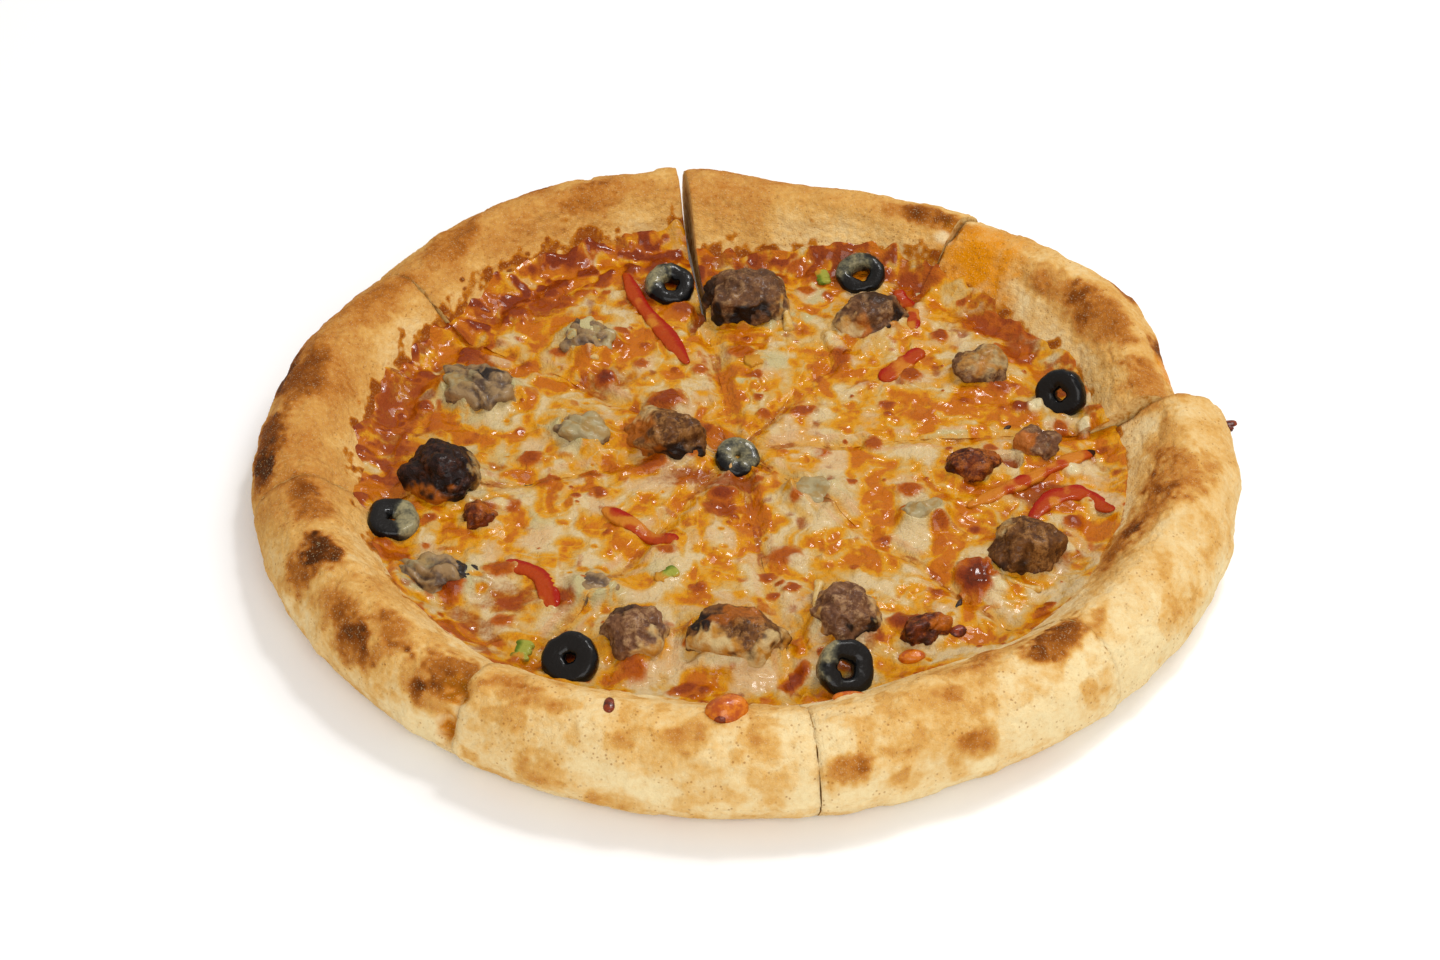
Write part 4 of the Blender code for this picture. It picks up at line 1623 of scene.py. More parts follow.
@dataclass
class Cheese:
    """The cheese on the eight slices, with what browned, bubbled and pooled on it."""

    footprints: list[Footprint]
    form: PizzaForm = FORM
    columns: int = 176
    rows: int = 236
    under_shares: tuple[float, ...] = (0.0, 0.25, 0.5, 0.7, 0.85, 0.95)
    overlap: float = 0.0022
    sunk: float = 0.0008
    round_off: float = 0.0016
    lumps: float = 0.0007
    ripples: float = 0.00034
    pebbles: float = 0.00010
    dots: int = 620
    overlap_share: float = 1.4
    healing: float = 0.0013
    open_cut: int = 2
    open_run: float = 0.068
    climb_reach: float = 0.0028
    climb_scale: float = 1.5
    greyed_reach: float = 0.0040
    mark_lift: float = 1.25
    tooth: float = 0.0011
    back_tooth: float = 0.0022
    stirring: float = 0.0032
    seam_width: float = 0.0009
    least_dot: float = 0.0006
    dot_range: float = 0.0026
    dot_rise: Pair = (-0.0002, 0.0005)
    pool_depth: float = 0.0003
    sauce_depth: float = 0.0003
    browned_rise: float = 0.0004
    edge_run: float = 0.004
    lip: float = 0.0009
    lip_from_cut: float = 0.0032
    lip_width: float = 0.0018
    healed_width: float = 0.0034
    under_gap: float = 0.0001
    seed: int = 5

    def edge(self, cut: Slice, bearing: Array) -> Array:
        """The uneven edge of the cheese, which laps over the rim's inner slope.

        Args:
            cut: The slice.
            bearing: Bearings in it.

        Returns:
            A run for each bearing.
        """
        plain = self.form.edge_runs(cut, bearing)[1]
        turn = np.radians(bearing)
        places = np.stack([plain * np.cos(turn), plain * np.sin(turn)], axis=-1)
        back = towards(bearing, 125.0)
        teeth = 0.6 * (self.tooth + self.back_tooth * back)
        teeth = teeth * (grain(places, 0.0042, 31) + grain(places, 0.012, 32))
        return plain + self.overlap * (0.3 + 0.7 * back) + teeth

    def looks(self, points: Array) -> tuple[Layers, Array]:
        """How much each look shows at places on the cheese.

        Args:
            points: Places, one a row.

        Returns:
            Numbers for each look, and how far the marks lift each place.
        """
        flat = points[:, :2]
        shown, lift = Layers(Look, len(points)), np.zeros(len(points))
        ragged = 0.17 * grain(flat, 0.0030, 41) + 0.08 * grain(flat, 0.0012, 42)
        for mark in MARKS:
            near, out = mark.reach(points, ragged)
            shown.show(mark.look, mark.strength * ease((1.35 - out) / 0.95), near)
            rise = self.mark_lift * mark.lift * MM
            lift[near] += rise * np.sqrt(np.clip(1.0 - (out / 1.1) ** 2, 0.0, 1.0))
        return shown, lift

    def mottle(self, points: Array, shown: Layers, crease: Array, outer: Array) -> None:
        """Adds the oily pools, browned spots and sauce all over the cheese, and the darker lines along its
        cuts, partly sauce and partly painted shade in the creases.

        Args:
            points: Places on the cheese.
            shown: The looks so far, which are changed.
            crease: Distance of each place from the nearer cut.
            outer: Distance of each place from the cheese's edge.
        """
        flat = points[:, :2]
        stirred = flat + self.stirring * np.column_stack([grain(flat, 0.009, 49), grain(flat, 0.009, 50)])
        pattern = grain(stirred, 0.0078, 51) * 0.60 + grain(stirred, 0.0036, 52) * 0.42
        pattern += grain(flat, 0.0015, 53) * 0.14
        second = grain(stirred, 0.0044, 54) * 0.7 + grain(flat, 0.0018, 55) * 0.25 + pattern * 0.3
        back = towards(self.form.polar(points[:, 0], points[:, 1])[0], 130.0)
        net = 1.0 - above(np.abs(grain(stirred, 0.0062, 63)), 0.10, 0.10)
        fringe = ease((0.013 + 0.015 * back - outer) / 0.014)
        calm = shown[Look.CALM]
        level = 0.38 + 0.52 * fringe * (0.35 + 0.65 * back) + 0.28 * back - 0.26 * calm - 0.30 * net
        level = level - 0.24 * shown[Look.HERBAL] - 0.20 * shown[Look.CURD]
        level += 0.12 * ease(points[:, 0] / 0.07)
        pools = level + pattern * (1.15 - 0.4 * calm) + 0.48 * shown[Look.OILY]
        shown[Look.OILY] = np.clip(pools, 0.0, 1.15)
        browned = 0.16 + 0.56 * fringe * (0.15 + 0.85 * back) + 0.20 * back - 0.14 * calm
        spots = above(second, 0.70 - 0.75 * browned, 0.26) * (0.46 + 0.58 * fringe * back)
        shown.show(Look.TOASTED, spots * (1.0 - 0.6 * shown[Look.HERBAL]))
        smear = grain(stirred, 0.009, 56) * 0.6 + grain(flat, 0.003, 57) * 0.4
        sauce = above(smear, 0.66 - 0.42 * fringe * (0.2 + 0.8 * back), 0.26)
        shown[Look.SAUCY] *= 1.05 + 0.5 * pattern
        shown.show(Look.SAUCY, sauce * 0.7)
        # A darker line along each cut, partly sauce and partly painted shade in the crease.
        wander = crease + self.seam_width * grain(flat, 0.0032, 64)
        line = np.exp(-((wander / self.seam_width) ** 2)) * above(grain(flat, 0.009, 60), 0.05, 0.4)
        shown.show(Look.SAUCY, line * 0.68)
        shown.show(Look.OILY, np.exp(-((crease / 0.0016) ** 2)) * 0.5)
        lips = np.exp(-(((crease - 0.0030) / 0.0013) ** 2)) * ease(outer / 0.02)
        shown.show(Look.PINK, lips * (0.7 + 0.4 * grain(flat, 0.008, 58)))
        shown.show(Look.PINK, above(grain(flat, 0.010, 59), 0.35, 0.25) * 0.6)

    def dotted(self, points: Array, shown: Layers) -> Array:
        """Adds small round bubbles, some browned and some oily.

        Args:
            points: Places on the cheese.
            shown: The looks so far, which are changed.

        Returns:
            How far each place is lifted by the bubbles.
        """
        draw = np.random.default_rng(self.seed)
        lift = np.zeros(len(points))
        ragged = 0.3 * grain(points[:, :2], 0.0016, 43)
        reach = self.form.width / 2
        low, high = points[:, :2].min(axis=0) - 0.002, points[:, :2].max(axis=0) + 0.002
        for _ in range(self.dots):
            x, y = draw.uniform(-reach, reach), draw.uniform(-reach, reach)
            radius, squash = self.least_dot + self.dot_range * draw.random() ** 2, draw.uniform(0.65, 1.0)
            browned, rise = draw.random() < 0.5, draw.uniform(*self.dot_rise)
            if not (low[0] < x < high[0] and low[1] < y < high[1]):
                continue
            near, out = from_oval(points, (x, y), (radius, radius * squash), 0.0, 2 * radius)
            out += ragged[near]
            weight = ease((1.5 - out) / 1.1) * (1.0 - 0.6 * shown[Look.CALM][near])
            look, most = (Look.TOASTED, 0.85) if browned else (Look.OILY, 0.95)
            shown.show(look, weight * most, near)
            lift[near] += rise * np.clip(1.0 - (out / 1.3) ** 2, 0.0, 1.0)
        return lift

    def climbing(self, points: Array, shown: Layers) -> Array:
        """How far the cheese climbs the toppings that stand in it.

        Args:
            points: Places on the cheese.
            shown: The looks so far, which are changed: cheese is calmer and greyer beside a topping.

        Returns:
            A height for each place.
        """
        lift = np.zeros(len(points))
        ragged = 1.0 + 0.7 * grain(points[:, :2], 0.0042, 61)
        for stand in self.footprints:
            half = (stand.long, stand.wide)
            span = max(half) + 3 * self.climb_reach
            near, share = from_oval(points, (stand.x, stand.y), half, stand.turn, span)
            beyond = np.maximum(share - 0.92, 0.0) * sum(half) / 2
            fading = np.exp(-beyond / self.climb_reach)
            climb = self.climb_scale * stand.climb * ragged[near] * fading
            lift[near] = np.maximum(lift[near], climb)
            shown.show(Look.CALM, 0.5 * fading, near)
            greyed = stand.greyed * (0.15 + 0.6 * ragged[near])
            shown.show(Look.HERBAL, greyed * np.exp(-beyond / self.greyed_reach), near)
        return lift

    def top(self, cut: Slice, bearing: Array, edge: Array) -> tuple[Array, Array, Layers]:
        """The upper side of the cheese.

        Args:
            cut: The slice.
            bearing: Bearings, one a column.
            edge: The run of the edge at each.

        Returns:
            Runs and heights, rows by columns from the edge to the crossing, and the looks at each place.
        """
        share = np.linspace(1.0, 0.0, self.rows)[:, None]
        run = share * edge
        turned = bearing + 0.0 * run
        height = self.form.cheese_top(cut, turned, np.minimum(run, self.form.edge_runs(cut, turned)[1]))
        dough = self.form.dough_top(cut, turned, run)
        outer = edge - run
        height = np.maximum(height, dough + self.form.cheese_edge)
        rounded = 1.0 - np.exp(-outer / self.round_off)
        height = dough - self.sunk * (1.0 - rounded) + (height - dough) * rounded
        points = self.form.grid_places(cut, bearing, run, height).reshape(-1, 3)
        body, crease = ease(outer / self.edge_run).ravel(), self.form.from_cut(cut, turned, run).ravel()
        shown, marked = self.looks(points)
        climb = self.climbing(points, shown)
        self.mottle(points, shown, crease, outer.ravel())
        bubbles = self.dotted(points, shown)
        flat = points[:, :2]
        relief = self.lumps * (grain(flat, 0.011, 71) * 0.6 + grain(flat, 0.005, 72) * 0.5)
        relief += self.ripples * grain(flat, 0.0024, 73) + self.pebbles * grain(flat, 0.0011, 74)
        relief -= self.pool_depth * above(shown[Look.OILY], 0.6, 0.4) * (1.0 - shown[Look.TOASTED])
        relief += self.browned_rise * shown[Look.TOASTED] - self.sauce_depth * shown[Look.SAUCY]
        lips = self.lip * np.exp(-(((crease - self.lip_from_cut) / self.lip_width) ** 2))
        lips *= 0.7 + 0.6 * grain(flat, 0.007, 75)
        healed = self.healing * above(grain(flat, 0.011, 62), 0.0, 0.6)
        lips += healed * np.exp(-((crease / self.healed_width) ** 2))
        total = (relief + lips + bubbles + marked) * (0.25 + 0.75 * body) + climb * body
        return run, height + total.reshape(run.shape), shown

    def closing(self, number: int, run: Array) -> Array:
        """How far the cheese has run together across a cut: all the way, but for the outer part of one.

        Args:
            number: The slice before the cut.
            run: Runs along it.

        Returns:
            Shares of the way to the middle of the cut.
        """
        overlap = self.overlap_share + 0.0 * run
        if number == self.open_cut:
            return overlap * above(-run, -self.open_run, 0.006)
        return overlap

    def build(self) -> None:
        """Makes and dresses the cheese of every slice."""
        material = MeltedCheese().material()
        for cut in SLICES:
            bearing = np.linspace(cut.start, cut.end, self.columns)
            edge = self.edge(cut, bearing)
            run, height, shown = self.top(cut, bearing, edge)
            under_run = np.array(self.under_shares)[:, None] * edge
            dough = self.form.dough_top(cut, bearing + 0.0 * under_run, under_run)
            runs = np.concatenate([under_run, run])
            heights = np.concatenate([dough - self.under_gap, height])
            places = self.form.grid_places(cut, bearing, runs, heights)
            hidden = len(self.under_shares)
            draw_together(cut, places[hidden:], self.closing)
            bare = np.zeros(under_run.shape)
            painted = {
                look.value: np.concatenate([bare, values.reshape(run.shape)])
                for look, values in shown.items()
                if look is not Look.CALM
            }
            piece = Piece.rolled(f"melted_cheese_{cut.number}", places, painted)
            piece.smooth(60.0)
            piece.settle([material], "melted_cheese", f"cheese_slice_{cut.number}")


class Stain(Enum):
    """What a patch on a topping is."""

    CHARRED = "charred"
    FILMED = "filmed"
    OILY = "oily"


@dataclass(frozen=True)
class Patch:
    """A patch on a topping: the way that it faces from the middle, its reach in degrees, its strength."""

    stain: Stain
    faces: Place
    reach: float = 50.0
    strength: float = 1.0


def patched(outward: Array, patches: tuple[Patch, ...], ragged: Array) -> Layers:
    """How much of each stain shows on a topping.

    Args:
        outward: Directions from the topping's middle, one a row, of length one.
        patches: The topping's patches.
        ragged: Degrees by which each place is held back from a patch.

    Returns:
        Numbers from 0 to 1 for each stain.
    """
    shown = Layers(Stain, len(outward))
    for patch in patches:
        facing = outward @ unit(np.array(patch.faces))
        away = np.degrees(np.arccos(np.clip(facing, -1.0, 1.0))) + ragged
        shown.show(patch.stain, patch.strength * ease((patch.reach - away) / PATCH_EDGE + 0.5))
    return shown


def to_bed(points: Array, depth: float) -> Array:
    """Flattens what of a topping is deep under the cheese that it stands in.

    Args:
        points: The topping's places, one a row.
        depth: How far under the cheese it reaches.

    Returns:
        The places with none lower than that.
    """
    bed = FORM.lying(points[:, 0], points[:, 1]) - depth
    raised = points.copy()
    raised[:, 2] = np.maximum(points[:, 2], bed)
    return raised


class MeatTone(Enum):
    """How far a chunk of meat is browned."""

    GREY = BrownedMeat("grey_meat", "6E482B", "94704A", "4E3220")
    DARK = BrownedMeat("dark_meat", "29140D", "48281B", "160A07", roughness=0.42)
    PINK = BrownedMeat("pink_meat", "7C5436", "A27C56", "5A3824")
    BROWN = BrownedMeat("brown_meat", "70461F", "986A38", "4A2A12")
    RED = BrownedMeat("red_meat", "702F0E", "A85E24", "3A1608", roughness=0.36)


@dataclass(frozen=True)
class Chunk:
    """A lump: its place, its size along, across and up, its turn, its tone and what is on it, how far cheese
    climbs it, its mesh's detail, how much of it is sunk, its folds' depth and how it greys the cheese."""

    x: float
    y: float
    size: Place
    turn: float = 0.0
    tone: MeatTone = MeatTone.GREY
    patches: tuple[Patch, ...] = ()
    climb: float = 0.0016
    detail: int = 6
    sunk: float = 0.35
    folded: float = 0.0
    greyed: float = 0.0


CHAR, FILM, OIL = Stain.CHARRED, Stain.FILMED, Stain.OILY
MEAT = (
    Chunk(0.0002, 0.0736, (0.026, 0.023, 0.019), 0.0, MeatTone.GREY, (
        # The char on this chunk's lower front and its left is partly char and partly painted shade.
        Patch(CHAR, (-0.15, -1.0, -0.05), 34.0), Patch(CHAR, (-1.0, 0.2, 0.1), 26.0, 0.7),
        Patch(FILM, (1.0, -0.1, -0.1), 30.0, 0.8),
    )),
    Chunk(0.0414, 0.0655, (0.023, 0.018, 0.016), 20.0, MeatTone.GREY, (
        Patch(CHAR, (0.1, 0.5, 0.9), 30.0, 0.6), Patch(CHAR, (1.0, -0.4, 0.3), 30.0, 0.9),
        Patch(FILM, (-0.9, -0.5, 0.1), 34.0, 0.8), Patch(OIL, (-0.6, -1.0, 0.1), 30.0, 0.9),
    )),
    Chunk(0.0745, 0.0402, (0.018, 0.016, 0.011), 0.0, MeatTone.GREY, (
        Patch(OIL, (0.1, -0.6, 0.8), 14.0, 0.6), Patch(FILM, (0.2, -0.2, 1.0), 58.0, 0.62),
    ), 0.0010, 5),
    Chunk(-0.0915, -0.0112, (0.025, 0.021, 0.019), 0.0, MeatTone.DARK, (
        Patch(OIL, (-0.3, -1.0, -0.1), 26.0, 0.9), Patch(FILM, (1.0, 0.2, 0.0), 34.0, 0.6),
    )),
    Chunk(-0.0240, 0.0060, (0.026, 0.018, 0.017), -20.0, MeatTone.BROWN, (
        Patch(CHAR, (0.5, -1.0, 0.0), 36.0, 0.8), Patch(OIL, (-1.0, -0.3, 0.3), 40.0, 0.8),
        Patch(FILM, (-0.5, 0.7, 0.6), 26.0, 0.7),
    )),
    Chunk(-0.0320, -0.0775, (0.018, 0.019, 0.015), 30.0, MeatTone.PINK, (
        Patch(CHAR, (-0.2, 0.9, 0.5), 30.0, 0.6), Patch(FILM, (0.8, -0.9, 0.0), 44.0, 0.9),
    )),
    Chunk(-0.0036, -0.0790, (0.028, 0.020, 0.018), 0.0, MeatTone.BROWN, (
        Patch(CHAR, (-0.8, 0.2, 0.75), 26.0, 0.9), Patch(OIL, (0.1, 0.5, 0.9), 34.0, 0.7),
        Patch(FILM, (-0.4, -1.0, 0.0), 46.0), Patch(FILM, (0.8, -0.7, 0.0), 36.0, 0.9),
        Patch(CHAR, (-0.55, -0.75, 0.2), 11.0, 1.2), Patch(CHAR, (0.30, -0.9, 0.25), 9.0, 1.2),
    ), 0.0026),
    Chunk(0.0274, -0.0712, (0.020, 0.019, 0.018), 0.0, MeatTone.PINK, (
        Patch(FILM, (-1.0, 0.1, -0.1), 38.0, 0.8), Patch(FILM, (0.9, 0.3, 0.0), 24.0, 0.7),
        Patch(CHAR, (0.6, -0.9, 0.0), 22.0, 0.9),
    ), 0.0020),
    Chunk(0.0812, -0.0432, (0.021, 0.019, 0.017), 0.0, MeatTone.BROWN, (
        # The char patch that faces down on the front left is painted shade.
        Patch(CHAR, (-0.6, -1.0, -0.3), 30.0, 0.6), Patch(FILM, (-0.7, 0.4, 0.5), 18.0, 0.6),
    ), 0.0012),
    Chunk(0.0889, 0.0034, (0.015, 0.013, 0.011), 15.0, MeatTone.PINK, (
        Patch(OIL, (-0.8, -0.5, 0.3), 44.0, 0.9), Patch(CHAR, (0.6, -0.7, 0.3), 14.0),
    ), 0.0012, 5),
    Chunk(0.0690, -0.0060, (0.017, 0.011, 0.009), 10.0, MeatTone.RED, (
        Patch(OIL, (0.9, 0.3, 0.5), 36.0, 0.7),
    ), 0.0010, 5),
    Chunk(-0.0785, -0.0290, (0.010, 0.010, 0.009), 0.0, MeatTone.RED, (
        Patch(OIL, (0.5, 0.2, 0.8), 34.0, 0.8),
    ), 0.0010, 5),
    Chunk(0.0500, -0.0745, (0.016, 0.010, 0.009), 25.0, MeatTone.RED, (
        Patch(OIL, (0.9, 0.1, 0.5), 40.0, 0.8), Patch(CHAR, (0.2, -1.0, 0.2), 30.0, 0.6),
    ), 0.0010, 5),
)
MUSHROOMS = (
    Chunk(-0.0835, 0.0300, (0.026, 0.017, 0.010), -15.0, patches=(
        Patch(FILM, (-0.6, 0.2, 0.9), 34.0, 0.7), Patch(CHAR, (0.2, 0.3, 1.0), 12.0, 0.9),
    ), climb=0.0022, detail=5, folded=0.0006, greyed=0.95),
    Chunk(-0.0495, 0.0545, (0.017, 0.018, 0.009), 60.0, patches=(
        Patch(FILM, (0.8, -0.3, 0.6), 34.0, 0.9), Patch(CHAR, (-0.5, 0.4, 0.7), 18.0, 0.6),
    ), climb=0.0022, detail=5, folded=0.0006, greyed=0.95),
    Chunk(-0.0500, 0.0095, (0.013, 0.018, 0.008), 70.0, patches=(
        Patch(FILM, (0.2, -0.4, 1.0), 70.0, 0.85),
    ), climb=0.0018, detail=5, folded=0.0005, greyed=0.95),
    Chunk(-0.0905, -0.0530, (0.026, 0.015, 0.008), -5.0, patches=(
        Patch(FILM, (-0.4, 0.6, 0.8), 36.0, 0.6), Patch(CHAR, (1.0, 0.3, 0.3), 30.0, 0.8),
    ), climb=0.0012, detail=5, folded=0.0006, greyed=0.95),
    Chunk(-0.0440, -0.0585, (0.014, 0.010, 0.009), 25.0, patches=(
        Patch(FILM, (0.3, 0.8, 0.6), 30.0, 0.6),
    ), climb=0.0022, detail=5, folded=0.0006, greyed=0.95),
    Chunk(0.0215, -0.0175, (0.019, 0.015, 0.008), -30.0, patches=(
        Patch(FILM, (0.0, -0.3, 1.0), 80.0, 0.95),
    ), climb=0.0020, detail=5, folded=0.0004, greyed=0.45),
    Chunk(0.0525, -0.0270, (0.015, 0.009, 0.007), 10.0, patches=(
        Patch(FILM, (0.0, -0.2, 1.0), 80.0, 0.95),
    ), climb=0.0020, detail=5, folded=0.0004, greyed=0.45),
)


@dataclass(frozen=True)
class Olive:
    """A slice of olive: its place, its height over the cheese, the way that its hole faces, how far the hole
    is filled, its film, its scale and how far cheese climbs it."""

    x: float
    y: float
    lift: float
    faces: Place
    filled: float
    patches: tuple[Patch, ...] = ()
    scale: float = 1.0
    climb: float = 0.0008


OLIVES = (
    Olive(-0.0238, 0.0815, 0.0020, (0.10, -0.35, 0.93), 0.0010, (Patch(FILM, (-0.9, 0.4, 0.4), 46.0, 0.8),)),
    Olive(0.0390, 0.0875, 0.0030, (-0.10, -0.40, 0.91), 0.0006, (Patch(FILM, (-0.6, 0.3, 0.9), 62.0, 0.68),)),
    Olive(0.0985, 0.0245, 0.0050, (-0.50, -0.72, 0.48), 0.0014),
    Olive(-0.1045, -0.0300, 0.0012, (0.15, -0.05, 0.98), 0.0020, (Patch(FILM, (0.9, 0.1, 0.5), 64.0, 0.85),)),
    Olive(-0.0490, -0.0885, 0.0042, (-0.15, -0.45, 0.88), 0.0021, (Patch(FILM, (0.8, 0.6, 0.2), 16.0, 0.5),)),
    Olive(0.0265, -0.0930, 0.0050, (0.25, -0.55, 0.80), 0.0010, (
        Patch(FILM, (-0.8, 0.3, 0.7), 36.0, 0.85), Patch(FILM, (-1.0, -0.2, 0.1), 26.0, 0.8),
    )),
    Olive(-0.0025, -0.0005, 0.0012, (0.10, -0.30, 0.95), 0.0020, (
        Patch(FILM, (0.1, 0.1, 1.0), 80.0, 0.7),
    ), 0.85),
)


@dataclass(frozen=True)
class Strip:
    """A strip of pepper: the places along it, its half width and how much cheese lies on it."""

    path: tuple[Pair, ...]
    half_width: float
    filmed: float = 0.3
    burnt_end: bool = False


RED_PEPPERS = (
    Strip(((-0.0394, 0.0905), (-0.0345, 0.0750), (-0.0262, 0.0600), (-0.0180, 0.0430)), 0.0028, 0.10),
    Strip(((0.0430, 0.0350), (0.0500, 0.0430), (0.0570, 0.0510)), 0.0030, 0.20),
    Strip(((0.0835, -0.0300), (0.0915, -0.0200), (0.1020, -0.0175), (0.1085, -0.0270)), 0.0028, 0.02),
    Strip(((-0.0428, -0.0240), (-0.0290, -0.0345), (-0.0200, -0.0385)), 0.0026, 0.45),
    Strip(((-0.0705, -0.0470), (-0.0600, -0.0530), (-0.0548, -0.0665)), 0.0028, 0.12),
    Strip(((0.0655, -0.0235), (0.0840, -0.0125), (0.1070, 0.0030)), 0.0022, 0.55, True),
    Strip(((0.0500, 0.0820), (0.0550, 0.0730), (0.0545, 0.0600)), 0.0024, 0.35),
)
GREEN_PEPPERS = (
    Strip(((-0.0640, -0.0850), (-0.0620, -0.0780)), 0.0026, 0.35),
    Strip(((0.0, 0.0430), (0.0060, 0.0455)), 0.0024, 0.55),
    Strip(((0.0270, 0.0850), (0.0255, 0.0925)), 0.0024, 0.30),
    Strip(((-0.0265, -0.0545), (-0.0200, -0.0505)), 0.0022, 0.55),
)


def headings(path: Array) -> Array:
    """The way that a path leads at each of its places, of length one."""
    return unit(np.gradient(path, axis=0))


def smooth_path(path: tuple[tuple[float, ...], ...], count: int) -> Array:
    """Runs a smooth curve through a few places.

    Args:
        path: The places.
        count: How many places the curve gets.

    Returns:
        Places evenly shared out along it, one a row.
    """
    given = np.array(path, float)
    ends = np.concatenate([2 * given[:1] - given[1:2], given, 2 * given[-1:] - given[-2:-1]])
    at = np.linspace(0.0, len(given) - 1.0, count)
    first = np.minimum(at.astype(int), len(given) - 2)
    part = (at - first)[:, None]
    a, b, c, d = (ends[first + step] for step in range(4))
    bend = 2 * a - 5 * b + 4 * c - d
    return 0.5 * (2 * b + (c - a) * part + bend * part**2 + (3 * b - a - 3 * c + d) * part**3)


